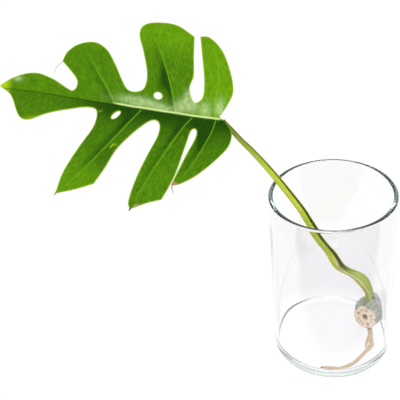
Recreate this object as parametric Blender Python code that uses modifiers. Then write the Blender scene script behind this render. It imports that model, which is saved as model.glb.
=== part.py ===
"""A mini monstera cutting leaning in a clear glass vase.

The origin is the centre of the glass's flat underside, +Z is up, and the leaf hangs out
over the rim towards -X. The viewer stands at -Y. Lengths are in metres.
"""
import math

import bmesh
import bpy
from mathutils import Matrix, Vector
from mathutils.geometry import delaunay_2d_cdt

MM = 0.001
SHARP_ANGLE = math.radians(40.0)
CURVE_SUBSTEPS = 16

# Finishes: colour, roughness, alpha and transmission under each material's name
FINISHES = {
    "clear_glass": ((0.86, 0.93, 0.90), 0.03, 0.35, 1.0),
    "leaf_green": ((0.09, 0.26, 0.02), 0.35, 1.0, 0.0),
    "stalk_green": ((0.42, 0.52, 0.06), 0.42, 1.0, 0.0),
    "stem_skin": ((0.36, 0.44, 0.36), 0.55, 1.0, 0.0),
    "root_bark": ((0.66, 0.46, 0.28), 0.80, 1.0, 0.0),
    "dry_sheath": ((0.72, 0.58, 0.40), 0.75, 1.0, 0.0),
}

# Glass vase: a straight-sided tumbler of drawn glass with a fire-polished rim
GLASS_RADIUS = 40.0 * MM
GLASS_HEIGHT = 125.0 * MM
GLASS_WALL = 2.4 * MM
GLASS_FLOOR = 5.0 * MM
GLASS_FOOT_ROUND = 4.0 * MM
GLASS_INNER_ROUND = 3.5 * MM
GLASS_STEPS = 72
RIM_PIECES = 6
INNER_ROUND_PIECES = 5
FOOT_ROUND_PIECES = 4
WELD_DISTANCE = 0.01 * MM

# Stem section: the cut piece of the main stem, lying on the floor against the wall
STEM_FACE = Vector((23.2, -0.5, 16.7)) * MM
STEM_AXIS = Vector((0.622, 0.761, -0.206)).normalized()
STEM_LENGTH = 10.0 * MM
STEM_NODE_RADIUS = 8.5 * MM
PITH_RADIUS = 2.2 * MM
PITH_DEPTH = 1.0 * MM
PITH_FLAT_SHARE = 0.7
STEM_STEPS = 36
# Half outline between the pith and the middle of the far end: radius and height in mm
STEM_OUTLINE = (
    (7.0, 10.1),
    (7.7, 9.9),
    (8.0, 9.3),
    (8.15, 6.2),
    (8.1, 3.6),
    (8.5, 1.0),
    (8.5, -0.4),
    (7.8, -1.1),
    (7.4, -1.8),
    (6.9, -2.2),
)

# Dry collar: what is left of the old sheath, a torn paper band round the node
COLLAR_GAP = 0.35 * MM
COLLAR_THICKNESS = 0.45 * MM
COLLAR_WIDTH = 2.2 * MM
COLLAR_TEAR = 0.8 * MM
COLLAR_FLARE = 0.35 * MM
COLLAR_FOOT = -0.6 * MM
COLLAR_OPENING = math.radians(38.0)
COLLAR_STEPS = 54
COLLAR_ROWS = 4
COARSE_TEARS = 11.0
FINE_TEARS = 23.0
FINE_TEAR_SHARE = 0.6

# Petiole: its line from the node to the leaf joint, with its half thickness at each point
PETIOLE_PATH = (
    # x, y, z, half thickness in mm
    (30.7, 10.3, 24.3, 3.1),
    (29.5, 9.6, 29.0, 3.1),
    (28.3, 9.0, 33.4, 3.2),
    (25.4, 8.0, 40.1, 3.9),
    (22.7, 7.3, 45.2, 4.1),
    (19.7, 7.0, 48.9, 3.7),
    (16.1, 7.0, 52.1, 3.0),
    (12.5, 7.3, 54.6, 2.8),
    (9.0, 7.8, 57.0, 3.0),
    (6.0, 8.4, 60.0, 3.4),
    (3.8, 9.0, 64.2, 3.6),
    (1.9, 9.5, 68.5, 3.4),
    (-0.2, 10.0, 72.5, 3.1),
    (-2.4, 10.5, 76.2, 2.9),
    (-7.8, 11.5, 85.2, 2.8),
    (-13.3, 12.8, 95.8, 2.7),
    (-17.3, 13.9, 104.0, 2.6),
    (-24.2, 15.7, 115.4, 2.4),
    (-31.7, 17.6, 127.1, 2.3),
    (-39.4, 18.0, 139.1, 2.1),
    (-47.1, 17.9, 150.4, 1.9),
    (-53.2, 17.4, 158.8, 1.7),
    (-57.4, 16.8, 165.3, 1.6),
    (-60.6, 16.2, 170.1, 1.6),
    (-63.9, 15.6, 174.8, 1.7),
)
PETIOLE_STATIONS = 66
# Channel along the petiole's upper side, as shares of the half thickness at shares of the length
CHANNEL_SHAPE = (
    # share of length, distance of its centre from the middle, its own radius
    (0.00, 0.52, 0.66),
    (0.08, 0.50, 0.72),
    (0.20, 0.50, 0.70),
    (0.28, 0.62, 0.52),
    (0.34, 0.72, 0.44),
    (0.45, 0.66, 0.48),
    (0.62, 0.78, 0.38),
    (0.70, 0.96, 0.26),
    (0.85, 1.10, 0.22),
    (1.00, 1.16, 0.22),
)
CHANNEL_FACING_LOW = Vector((0.45, -0.75, 0.50))
CHANNEL_FACING_HIGH = Vector((0.80, -0.20, 0.60))
PETIOLE_BACK_POINTS = 15
PETIOLE_CHANNEL_POINTS = 9

# Aerial root: out of the stem's underside, then along the floor of the glass
SEAT_GAP = 0.3 * MM
ROOT_PATH = (
    # x, y, half thickness and lift off the floor in mm
    (27.3, -1.2, 1.35, 0.3),
    (27.0, -3.4, 1.6, 0.0),
    (26.1, -7.6, 1.65, 0.0),
    (24.9, -12.2, 1.6, 0.0),
    (24.2, -16.4, 1.75, 0.0),
    (22.2, -19.0, 1.4, 0.0),
    (18.6, -22.2, 1.15, 0.0),
    (12.1, -28.2, 1.1, 0.0),
    (6.4, -32.0, 1.1, 0.0),
    (-0.3, -35.0, 1.15, 0.0),
    (-6.8, -34.7, 1.3, 0.0),
    (-10.8, -33.7, 1.15, 0.1),
    (-13.4, -32.9, 0.55, 0.5),
)
ROOT_STATIONS = 44
# A strip of bark peeled off the thick part of the root
PEEL_PATH = (
    (25.4, -8.0, 0.8, 1.2),
    (22.9, -11.6, 0.9, 1.0),
    (21.0, -15.6, 0.75, 0.5),
    (20.2, -17.8, 0.35, 0.5),
)
PEEL_STATIONS = 9
TUBE_ROUNDNESS = 2
TUBE_WELD = 0.001 * MM

# Leaf blade: its own axes run from the joint towards the tip, across, and up out of the sheet
LEAF_JOINT = Vector((-66.7, 15.0, 177.9)) * MM
LEAF_TILT = math.radians(-45.0)
LEAF_SPIN = math.radians(-15.2)
LEAF_LENGTH = 134.5
BLADE_THICKNESS = 0.75 * MM
MIDRIB_THICKNESS = 2.3 * MM
MIDRIB_HALF_WIDTH = 2.6
MIDRIB_SLIMMING = 0.75
LEAF_EDGE_STEP = 2.8
LEAF_GRID_STEP = 5.2
MIDRIB_STEP = 4.0
VEIN_STEP = 4.5
HOLE_POINTS = 8
# The least distances in mm from a point of the sheet to the edge or to another point
VEIN_TO_EDGE = 1.1
VEIN_TO_VEIN = 2.0
GRID_TO_EDGE = 1.8
GRID_TO_VEIN = 2.9
MERGE_DISTANCE = 0.0001
# Relief of the sheet in mm: its arch, the droop of the tip, the valley that it folds into along
# the midrib, and the quilting between the veins
BLADE_ARCH = 9.0
ARCH_TURN = 0.8 * math.pi
ARCH_START = -0.2
ARCH_END = 1.1
TIP_DROOP = 12.0
VALLEY_SLOPE = 0.25
VALLEY_ROUND = 2.0
VALLEY_BEND = 0.0035
QUILT_HEIGHT = 1.1
QUILT_REACH = 5.0
# The outline in mm along and across, lobe by lobe from the tip round the far side.
# A third value of 1 marks a corner, and the other points lie on a smooth curve.
LOBE_TIP_FAR = ((134.5, -0.4, 1), (126, -6.4), (114, -10.1), (103, -8.0), (91.5, -2.8),
                (88.3, -2.2), (86.3, -5.0), (87.6, -9.6))
LOBE_FAR_1 = ((97.6, -18.6, 1), (95.4, -24.6), (89.5, -29.8), (80, -32.4), (71.6, -28.6),
              (65, -20.4), (59.4, -11.6), (55.4, -6.9), (50.2, -6.4), (45.8, -9.6))
LOBE_FAR_2 = ((45.6, -18.0), (49.6, -30.0), (54.0, -41.0), (52.2, -47.4), (44, -50.5),
              (32.5, -50.6), (21.4, -45.4, 1), (19.6, -32.0), (18.0, -21.6), (19.2, -13.4),
              (15.2, -6.2), (10.8, -10.0))
LOBE_FAR_3 = ((11.4, -20.0), (14.6, -33.0), (18.0, -46.4, 1), (12.6, -47.0), (4.4, -41.2),
              (-2.2, -30.4), (-6.6, -17.6), (-4.6, -8.4), (-0.9, -0.9, 1))
LOBE_NEAR_3 = ((-5.2, 1.7), (-9.6, 7.8), (-9.2, 16.6), (-2.8, 27.0), (6.4, 37.6),
               (15.4, 44.6), (19.6, 45.6, 1), (17.1, 36.0), (14.0, 25.6), (10.9, 15.0),
               (11.6, 10.2))
LOBE_NEAR_2 = ((14.3, 11.6), (16.1, 22.0), (18.2, 36.6), (21.6, 48.0), (24.3, 55.6, 1),
               (32.4, 59.0), (41.6, 63.8, 1), (43.2, 59.6), (41.2, 47.0), (37.4, 33.0),
               (32.8, 17.6), (34.0, 9.9), (39.2, 10.2))
LOBE_NEAR_1 = ((48.0, 20.2), (55.2, 31.2), (59.6, 42.6), (64.6, 53.0, 1), (75, 57.6),
               (86.6, 61.4, 1), (83.8, 48.6), (77.6, 33.6), (71.2, 19.2), (71.2, 9.4),
               (76.4, 7.1))
LOBE_TIP_NEAR = ((88, 10.1), (101, 14.4), (111.0, 19.4), (118.2, 17.8), (125.4, 6.6),
                 (130, 2.2))
LEAF_OUTLINE = (LOBE_TIP_FAR + LOBE_FAR_1 + LOBE_FAR_2 + LOBE_FAR_3 + LOBE_NEAR_3
                + LOBE_NEAR_2 + LOBE_NEAR_1 + LOBE_TIP_NEAR)
# Holes beside the midrib: centre, half length, half width, turn in degrees
LEAF_HOLES = (
    (37.0, -6.1, 2.5, 2.0, 0.0),
    (59.5, 9.7, 3.4, 1.5, 54.0),
)
# Main side veins: where each leaves the midrib, a point on its way and its end in the lobe
SIDE_VEINS = (
    ((62.0, 1.9), (76.0, -11.0), (89.5, -25.0)),
    ((25.5, 1.8), (33.0, -17.0), (46.0, -44.0)),
    ((2.0, -0.4), (4.2, -17.0), (11.0, -38.0)),
    ((1.5, 1.2), (4.0, 17.0), (13.0, 38.0)),
    ((14.5, 1.4), (24.0, 23.0), (39.5, 59.0)),
    ((46.0, 2.7), (58.0, 24.0), (82.5, 57.5)),
)
MIDRIB_BOW = 2.8
MIDRIB_BOW_END = 108.0


def clear_scene():
    """Start from an empty file."""
    for thing in list(bpy.data.objects):
        bpy.data.objects.remove(thing, do_unlink=True)


def make_material(name):
    """A Principled material with the colour and roughness of the real surface."""
    colour, roughness, alpha, transmission = FINISHES[name]
    material = bpy.data.materials.new(name)
    material.use_nodes = True
    shader = material.node_tree.nodes["Principled BSDF"]
    shader.inputs["Base Color"].default_value = (*colour, 1.0)
    shader.inputs["Roughness"].default_value = roughness
    shader.inputs["Alpha"].default_value = alpha
    shader.inputs["Transmission Weight"].default_value = transmission
    return material


def add_object(name, mesh, material, collection):
    """Put a mesh in the collection under its own name, smooth but for its sharp edges."""
    mesh.shade_smooth()
    mesh.set_sharp_from_angle(angle=SHARP_ANGLE)
    mesh.materials.append(material)
    thing = bpy.data.objects.new(name, mesh)
    collection.objects.link(thing)
    return thing


def catmull(before, start, end, after, share):
    """One point of the smooth curve between start and end."""
    return 0.5 * ((2.0 * start) + (end - before) * share
                  + (2.0 * before - 5.0 * start + 4.0 * end - after) * share ** 2
                  + (3.0 * start - before - 3.0 * end + after) * share ** 3)


def smooth_path(points, count):
    """Read count evenly spaced places from the curve through points of any width."""
    nodes = [Vector(point) for point in points]
    ends = [2.0 * nodes[0] - nodes[1]] + nodes + [2.0 * nodes[-1] - nodes[-2]]
    fine = []
    for index in range(len(nodes) - 1):
        span = ends[index:index + 4]
        fine += [catmull(*span, step / CURVE_SUBSTEPS) for step in range(CURVE_SUBSTEPS)]
    fine.append(nodes[-1])
    lengths = [0.0]
    for first, second in zip(fine, fine[1:]):
        lengths.append(lengths[-1] + (second - first).length)
    places = []
    index = 0
    for step in range(count):
        wanted = lengths[-1] * step / (count - 1)
        while index < len(fine) - 2 and lengths[index + 1] < wanted:
            index += 1
        share = (wanted - lengths[index]) / (lengths[index + 1] - lengths[index])
        places.append(fine[index].lerp(fine[index + 1], min(share, 1.0)))
    return places


def outline_points(marks, spacing):
    """Turn the marked outline into a closed ring of points about spacing apart."""
    count = len(marks)
    places = [Vector(mark[:2]) for mark in marks]
    corner = [len(mark) == 3 for mark in marks]
    ring = []
    for index in range(count):
        start, end = places[index], places[(index + 1) % count]
        before = start * 2.0 - end if corner[index] else places[index - 1]
        after = end * 2.0 - start if corner[(index + 1) % count] else places[(index + 2) % count]
        pieces = max(1, round((end - start).length / spacing))
        for step in range(pieces):
            ring.append(catmull(before, start, end, after, step / pieces))
    return ring


def hole_points(hole):
    """The ring of points round one hole."""
    along, across, half_length, half_width, turn = hole
    turned = Matrix.Rotation(math.radians(turn), 2)
    ring = []
    for step in range(HOLE_POINTS):
        angle = math.tau * step / HOLE_POINTS
        spot = Vector((half_length * math.cos(angle), half_width * math.sin(angle)))
        ring.append(Vector((along, across)) + turned @ spot)
    return ring


def inside(point, ring):
    """Whether a flat point lies inside a closed ring."""
    found = False
    for first, second in zip(ring, ring[1:] + ring[:1]):
        if (first.y > point.y) != (second.y > point.y):
            share = (point.y - first.y) / (second.y - first.y)
            if point.x < first.x + share * (second.x - first.x):
                found = not found
    return found


def distance_to_line(point, line):
    """Shortest distance from a flat point to a line of points."""
    best = math.inf
    for first, second in zip(line, line[1:]):
        run = second - first
        share = max(0.0, min(1.0, (point - first).dot(run) / run.length_squared))
        best = min(best, (point - first - run * share).length)
    return best


def midrib_line(spacing):
    """The midrib from the joint to the tip, bowed a little across the blade."""
    count = round(LEAF_LENGTH / spacing)
    line = []
    for step in range(count + 1):
        along = LEAF_LENGTH * step / count
        bow = math.sin(math.pi * min(along / MIDRIB_BOW_END, 1.0))
        line.append(Vector((along, MIDRIB_BOW * bow)))
    return line


def vein_lines(spacing):
    """Every side vein as a smooth line of points about spacing apart."""
    lines = []
    for vein in SIDE_VEINS:
        span = (Vector(vein[2]) - Vector(vein[0])).length
        lines.append(smooth_path(vein, max(4, round(span / spacing))))
    return lines


def blade_height(along, across, veins):
    """How far the sheet stands out of the leaf's plane, in mm, at a place on it."""
    share = along / LEAF_LENGTH
    arch = BLADE_ARCH * math.sin(ARCH_TURN * max(ARCH_START, min(share, ARCH_END)))
    droop = -TIP_DROOP * max(share, 0.0) ** 2
    valley = VALLEY_SLOPE * (math.hypot(across, VALLEY_ROUND) - VALLEY_ROUND)
    valley -= VALLEY_BEND * across ** 2
    spot = Vector((along, across))
    nearest = min(distance_to_line(spot, line) for line in veins)
    quilt = QUILT_HEIGHT * (1.0 - math.exp(-(nearest / QUILT_REACH) ** 2))
    return arch + droop + valley + quilt


def leaf_axes():
    """The turn from the leaf's own axes to the world's."""
    faced = Matrix.Rotation(math.pi, 3, "Z") @ Matrix.Rotation(LEAF_TILT, 3, "X")
    return faced @ Matrix.Rotation(LEAF_SPIN, 3, "Z")


def arc(centre_radius, centre_height, radius, start, end, pieces):
    """Profile points along a round, between two angles in degrees."""
    points = []
    for step in range(pieces + 1):
        angle = math.radians(start + (end - start) * step / pieces)
        points.append((centre_radius + radius * math.cos(angle),
                       centre_height + radius * math.sin(angle)))
    return points


def make_glass(collection, material):
    """Turn the glass from its profile: floor, inner wall, rim, outer wall and underside."""
    lip = GLASS_WALL / 2.0
    corner = GLASS_RADIUS - GLASS_WALL - GLASS_INNER_ROUND
    foot = GLASS_RADIUS - GLASS_FOOT_ROUND
    profile = [(0.0, GLASS_FLOOR)]
    profile += arc(corner, GLASS_FLOOR + GLASS_INNER_ROUND, GLASS_INNER_ROUND,
                   -90.0, 0.0, INNER_ROUND_PIECES)
    profile += arc(GLASS_RADIUS - lip, GLASS_HEIGHT - lip, lip, 180.0, 0.0, RIM_PIECES)
    profile += arc(foot, GLASS_FOOT_ROUND, GLASS_FOOT_ROUND, 0.0, -90.0, FOOT_ROUND_PIECES)
    profile.append((0.0, 0.0))
    return turned_object("glass_vase", profile, GLASS_STEPS, material, collection)


def turned_object(name, profile, steps, material, collection):
    """An object turned round its own Z axis by a Screw modifier."""
    mesh = bpy.data.meshes.new(name)
    edges = [(index, index + 1) for index in range(len(profile) - 1)]
    mesh.from_pydata([(radius, 0.0, height) for radius, height in profile], edges, [])
    mesh.materials.append(material)
    thing = bpy.data.objects.new(name, mesh)
    collection.objects.link(thing)
    screw = thing.modifiers.new("Turn", "SCREW")
    screw.steps = steps
    screw.render_steps = steps
    screw.use_merge_vertices = True
    screw.merge_threshold = WELD_DISTANCE
    screw.use_smooth_shade = True
    return thing


def stem_profile():
    """Half outline of the stem section, from the near cut face to the far one."""
    sunk = STEM_LENGTH - PITH_DEPTH
    profile = [(0.0, sunk), (PITH_RADIUS * PITH_FLAT_SHARE, sunk), (PITH_RADIUS, STEM_LENGTH)]
    profile += [(radius * MM, height * MM) for radius, height in STEM_OUTLINE]
    profile.append((0.0, STEM_OUTLINE[-1][1] * MM))
    return profile


def stem_frame():
    """Place and turn of the stem: its own Z points out of the near cut face."""
    turn = (-STEM_AXIS).to_track_quat("Z", "Y")
    return STEM_FACE + STEM_AXIS * STEM_LENGTH, turn


def make_stem(collection, material):
    """The cut stem section with its sunken pith and swollen node."""
    stem = turned_object("stem_section", stem_profile(), STEM_STEPS, material, collection)
    place, turn = stem_frame()
    stem.location = place
    stem.rotation_mode = "QUATERNION"
    stem.rotation_quaternion = turn
    return stem


def make_collar(collection, material):
    """The torn paper band: an open strip round the node, given its thickness by Solidify."""
    place, turn = stem_frame()
    upward = turn.inverted() @ Vector((0.0, 0.0, 1.0))
    start = math.atan2(upward.y, upward.x)
    bm = bmesh.new()
    grid = []
    for column in range(COLLAR_STEPS + 1):
        share = column / COLLAR_STEPS
        angle = start + COLLAR_OPENING + share * (math.tau - 2.0 * COLLAR_OPENING)
        tear = math.sin(COARSE_TEARS * angle) + FINE_TEAR_SHARE * math.sin(FINE_TEARS * angle)
        width = COLLAR_WIDTH + COLLAR_TEAR * tear / (1.0 + FINE_TEAR_SHARE)
        line = []
        for row in range(COLLAR_ROWS + 1):
            up = row / COLLAR_ROWS
            radius = STEM_NODE_RADIUS + COLLAR_GAP + COLLAR_FLARE * up ** 2
            height = COLLAR_FOOT + width * up
            line.append(bm.verts.new((radius * math.cos(angle), radius * math.sin(angle), height)))
        grid.append(line)
    for left, right in zip(grid, grid[1:]):
        for row in range(COLLAR_ROWS):
            bm.faces.new((left[row], right[row], right[row + 1], left[row + 1]))
    mesh = bpy.data.meshes.new("dry_collar")
    bm.to_mesh(mesh)
    bm.free()
    collar = add_object("dry_collar", mesh, material, collection)
    collar.location = place
    collar.rotation_mode = "QUATERNION"
    collar.rotation_quaternion = turn
    wall = collar.modifiers.new("Thickness", "SOLIDIFY")
    wall.thickness = COLLAR_THICKNESS
    wall.offset = 1.0
    return collar


def channel_at(share):
    """The channel's centre distance and radius at a share of the petiole's length."""
    for first, second in zip(CHANNEL_SHAPE, CHANNEL_SHAPE[1:]):
        if share <= second[0]:
            blend = (share - first[0]) / (second[0] - first[0])
            blend = blend * blend * (3.0 - 2.0 * blend)
            return (first[1] + (second[1] - first[1]) * blend,
                    first[2] + (second[2] - first[2]) * blend)
    return CHANNEL_SHAPE[-1][1:]


def stalk_section(centre, radius):
    """A round section with a round channel cut into its +X side, for a stalk of radius 1."""
    lip = math.acos((1.0 + centre ** 2 - radius ** 2) / (2.0 * centre))
    points = []
    for step in range(PETIOLE_BACK_POINTS + 1):
        angle = lip + (math.tau - 2.0 * lip) * step / PETIOLE_BACK_POINTS
        points.append((math.cos(angle), math.sin(angle)))
    reach = math.atan2(math.sin(lip), math.cos(lip) - centre)
    for step in range(1, PETIOLE_CHANNEL_POINTS):
        angle = -reach - (math.tau - 2.0 * reach) * step / PETIOLE_CHANNEL_POINTS
        points.append((centre + radius * math.cos(angle), radius * math.sin(angle)))
    return points


def make_petiole(collection, material):
    """Loft the channelled stalk along its path, closed by a flat cap at each end."""
    places = smooth_path(PETIOLE_PATH, PETIOLE_STATIONS)
    bm = bmesh.new()
    rings = []
    for index, place in enumerate(places):
        share = index / (PETIOLE_STATIONS - 1)
        ahead = places[min(index + 1, PETIOLE_STATIONS - 1)]
        behind = places[max(index - 1, 0)]
        along = (ahead - behind).to_3d().normalized()
        facing = CHANNEL_FACING_LOW.lerp(CHANNEL_FACING_HIGH, share)
        out = (facing - along * facing.dot(along)).normalized()
        side = along.cross(out)
        middle = place.to_3d() * MM
        half = place[3] * MM
        ring = []
        for x, y in stalk_section(*channel_at(share)):
            ring.append(bm.verts.new(middle + (out * x + side * y) * half))
        rings.append(ring)
    for lower, upper in zip(rings, rings[1:]):
        count = len(lower)
        for index in range(count):
            following = (index + 1) % count
            bm.faces.new((lower[index], lower[following], upper[following], upper[index]))
    bm.faces.new(list(reversed(rings[0])))
    bm.faces.new(rings[-1])
    bmesh.ops.triangulate(bm, faces=bm.faces)
    bmesh.ops.recalc_face_normals(bm, faces=bm.faces)
    mesh = bpy.data.meshes.new("petiole")
    bm.to_mesh(mesh)
    bm.free()
    return add_object("petiole", mesh, material, collection)


def resting_place(x, y, half, lift):
    """Where the middle of a round root of this half thickness lies on the glass's floor."""
    round_start = GLASS_RADIUS - GLASS_WALL - GLASS_INNER_ROUND
    beyond = math.hypot(x, y) * MM - round_start
    clear = half * MM + SEAT_GAP
    height = GLASS_FLOOR + clear
    if beyond > 0.0:
        height = GLASS_FLOOR + GLASS_INNER_ROUND
        height -= math.sqrt((GLASS_INNER_ROUND - clear) ** 2 - beyond ** 2)
    return Vector((x, y, height / MM + lift, half))


def rooted_tube(name, path, count, collection):
    """A tapering tube that rests on the glass's floor, as a closed mesh object."""
    curve = bpy.data.curves.new(name, "CURVE")
    curve.dimensions = "3D"
    curve.bevel_depth = MM
    curve.bevel_resolution = TUBE_ROUNDNESS
    curve.use_fill_caps = True
    spline = curve.splines.new("POLY")
    places = smooth_path([resting_place(*point) for point in path], count)
    spline.points.add(count - 1)
    for point, place in zip(spline.points, places):
        point.co = (*(place.to_3d() * MM), 1.0)
        point.radius = place[3]
    guide = bpy.data.objects.new(name + "_curve", curve)
    collection.objects.link(guide)
    bpy.context.view_layer.update()
    evaluated = guide.evaluated_get(bpy.context.evaluated_depsgraph_get())
    mesh = bpy.data.meshes.new_from_object(evaluated)
    bm = bmesh.new()
    bm.from_mesh(mesh)
    bmesh.ops.remove_doubles(bm, verts=bm.verts, dist=TUBE_WELD)
    bm.to_mesh(mesh)
    bm.free()
    bpy.data.objects.remove(guide, do_unlink=True)
    tube = bpy.data.objects.new(name, mesh)
    collection.objects.link(tube)
    return tube


def make_root(collection, cutters, material):
    """The aerial root with the strip of bark that has peeled off its thick part."""
    root = rooted_tube("aerial_root", ROOT_PATH, ROOT_STATIONS, collection)
    peel = rooted_tube("root_peel", PEEL_PATH, PEEL_STATIONS, cutters)
    peel.hide_render = True
    peel.display_type = "WIRE"
    join = root.modifiers.new("Peel", "BOOLEAN")
    join.operation = "UNION"
    join.object = peel
    root.data.materials.append(material)
    return root


def rows_across(ring, axis, spacing):
    """The numbers of the grid rows that cross a ring along one of its two axes."""
    reach = [spot[axis] / spacing for spot in ring]
    return range(math.floor(min(reach)) - 1, math.ceil(max(reach)) + 1)


def leaf_sheet_points():
    """The flat points of the blade and the rings that bound it and its holes."""
    outer = outline_points(LEAF_OUTLINE, LEAF_EDGE_STEP)
    holes = [hole_points(hole) for hole in LEAF_HOLES]
    lines = [midrib_line(MIDRIB_STEP)] + vein_lines(VEIN_STEP)
    rings = [outer] + holes
    closed = [ring + ring[:1] for ring in rings]
    spots = []
    for line in lines:
        for spot in line:
            if min(distance_to_line(spot, ring) for ring in closed) > VEIN_TO_EDGE:
                if all((spot - other).length > VEIN_TO_VEIN for other in spots):
                    spots.append(spot)
    row_height = LEAF_GRID_STEP * math.sqrt(3.0) / 2.0
    for row in rows_across(outer, 1, row_height):
        for column in rows_across(outer, 0, LEAF_GRID_STEP):
            spot = Vector(((column + 0.5 * (row % 2)) * LEAF_GRID_STEP, row * row_height))
            if min(distance_to_line(spot, ring) for ring in closed) < GRID_TO_EDGE:
                continue
            if min((spot - other).length for other in spots) < GRID_TO_VEIN:
                continue
            spots.append(spot)
    return rings, spots, lines


def make_leaf(collection, material):
    """The split blade: one sheet cut to its outline and holes, thicker along the midrib."""
    rings, spots, lines = leaf_sheet_points()
    flat = []
    edges = []
    for ring in rings:
        first = len(flat)
        flat += ring
        edges += [(first + index, first + (index + 1) % len(ring)) for index in range(len(ring))]
    flat += [spot for spot in spots if inside(spot, rings[0])]
    verts, _, faces, _, _, _ = delaunay_2d_cdt(flat, edges, [], 0, MERGE_DISTANCE)
    turn = leaf_axes()
    bm = bmesh.new()
    placed = []
    for spot in verts:
        height = blade_height(spot.x, spot.y, lines)
        placed.append(bm.verts.new(LEAF_JOINT + turn @ Vector((spot.x, spot.y, height)) * MM))
    for face in faces:
        middle = sum((verts[index] for index in face), Vector((0.0, 0.0))) / len(face)
        if inside(middle, rings[0]) and not any(inside(middle, ring) for ring in rings[1:]):
            bm.faces.new([placed[index] for index in face])
    bmesh.ops.recalc_face_normals(bm, faces=bm.faces)
    upward = turn @ Vector((0.0, 0.0, 1.0))
    if sum(face.normal.dot(upward) for face in bm.faces) < 0.0:
        bmesh.ops.reverse_faces(bm, faces=bm.faces)
    mesh = bpy.data.meshes.new("leaf_blade")
    bm.to_mesh(mesh)
    bm.free()
    leaf = add_object("leaf_blade", mesh, material, collection)
    group = leaf.vertex_groups.new(name="rib")
    for index, spot in enumerate(verts):
        nearness = distance_to_line(spot, lines[0]) / MIDRIB_HALF_WIDTH
        slimming = 1.0 - MIDRIB_SLIMMING * max(0.0, min(spot.x / LEAF_LENGTH, 1.0))
        group.add([index], slimming * math.exp(-nearness ** 2), "REPLACE")
    wall = leaf.modifiers.new("Thickness", "SOLIDIFY")
    wall.thickness = MIDRIB_THICKNESS
    wall.offset = -1.0
    wall.vertex_group = "rib"
    wall.thickness_vertex_group = BLADE_THICKNESS / MIDRIB_THICKNESS
    return leaf


def build():
    """Make every piece of the cutting and its vase."""
    clear_scene()
    collection = bpy.data.collections.new("monstera_cutting")
    cutters = bpy.data.collections.new("joined_shapes")
    bpy.context.scene.collection.children.link(collection)
    bpy.context.scene.collection.children.link(cutters)
    make_glass(collection, make_material("clear_glass"))
    make_stem(collection, make_material("stem_skin"))
    make_collar(collection, make_material("dry_sheath"))
    make_petiole(collection, make_material("stalk_green"))
    make_root(collection, cutters, make_material("root_bark"))
    make_leaf(collection, make_material("leaf_green"))


build()
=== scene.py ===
"""Dresses a mini monstera cutting and its glass vase, and lights them for a studio picture.

Lengths are in metres, except where a name or a comment says mm. The glass stands on the floor
round the origin, +Z is up, and the leaf hangs out over the rim towards -X.
"""
import logging
import math
from collections.abc import Iterable, Sequence
from dataclasses import dataclass
from enum import Enum

import bmesh
import bpy
import numpy as np
from mathutils import Matrix, Vector
from mathutils.geometry import delaunay_2d_cdt


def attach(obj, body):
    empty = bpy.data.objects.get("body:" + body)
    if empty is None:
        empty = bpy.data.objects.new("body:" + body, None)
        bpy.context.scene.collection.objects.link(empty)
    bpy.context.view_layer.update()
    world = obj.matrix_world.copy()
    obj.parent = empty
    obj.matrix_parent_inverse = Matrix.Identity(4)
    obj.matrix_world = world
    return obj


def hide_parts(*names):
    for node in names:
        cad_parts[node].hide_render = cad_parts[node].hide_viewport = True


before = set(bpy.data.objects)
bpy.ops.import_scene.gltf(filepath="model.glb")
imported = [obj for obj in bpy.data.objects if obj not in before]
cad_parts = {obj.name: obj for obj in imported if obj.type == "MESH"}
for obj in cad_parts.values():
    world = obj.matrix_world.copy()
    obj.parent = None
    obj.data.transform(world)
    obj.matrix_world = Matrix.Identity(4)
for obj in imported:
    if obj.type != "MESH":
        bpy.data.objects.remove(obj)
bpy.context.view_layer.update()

LOG = logging.getLogger("cutting")
MM = 0.001
ROOT_BODY = "root"
Pair = tuple[float, float]
Triple = tuple[float, float, float]
Colour = Triple
Marks = Sequence[tuple[float, ...]]
CURVE_STEPS = 24


class Slot(Enum):
    """The record's material slots."""

    GLASS = "clear_glass"
    LEAF = "leaf_green"
    STALK = "stalk_green"
    STEM = "stem_skin"
    PAPER = "dry_sheath"
    ROOT = "root_bark"


class Side(Enum):
    """The two faces of the leaf's sheet."""

    UPPER = 0
    UNDER = 1


class Ramp(Enum):
    """How a number runs from one end of a range to the other."""

    SOFT = "SMOOTHSTEP"
    STRAIGHT = "LINEAR"


class Ends(Enum):
    """How a turned piece is closed: by flat rounds or by fans that meet in a point."""

    FLAT = "NGON"
    FAN = "TRIFAN"


def leave_all() -> None:
    """Leave edit mode and deselect everything."""
    if bpy.context.object and bpy.context.object.mode != "OBJECT":
        bpy.ops.object.mode_set(mode="OBJECT")
    bpy.ops.object.select_all(action="DESELECT")


def hold(piece: bpy.types.Object) -> None:
    """Make one object the selected and active one."""
    leave_all()
    piece.select_set(True)
    bpy.context.view_layer.objects.active = piece


def apply_modifiers(piece: bpy.types.Object) -> None:
    """Apply every modifier of an object, in order."""
    hold(piece)
    for modifier in list(piece.modifiers):
        bpy.ops.object.modifier_apply(modifier=modifier.name)


def settle(piece: bpy.types.Object, smooth_angle: float = 40.0) -> None:
    """Bake an object's place into its mesh and shade it smooth.

    Args:
        piece: The mesh object to finish.
        smooth_angle: Edges sharper than this many degrees stay sharp.
    """
    hold(piece)
    bpy.ops.object.transform_apply(location=True, rotation=True, scale=True)
    bpy.ops.object.shade_smooth_by_angle(angle=math.radians(smooth_angle))
    leave_all()


def join(piece: bpy.types.Object, others: Iterable[bpy.types.Object]) -> None:
    """Join other objects into a piece.

    Args:
        piece: The object that takes the others in.
        others: The objects that go into it.
    """
    hold(piece)
    for other in others:
        other.select_set(True)
    bpy.ops.object.join()


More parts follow.
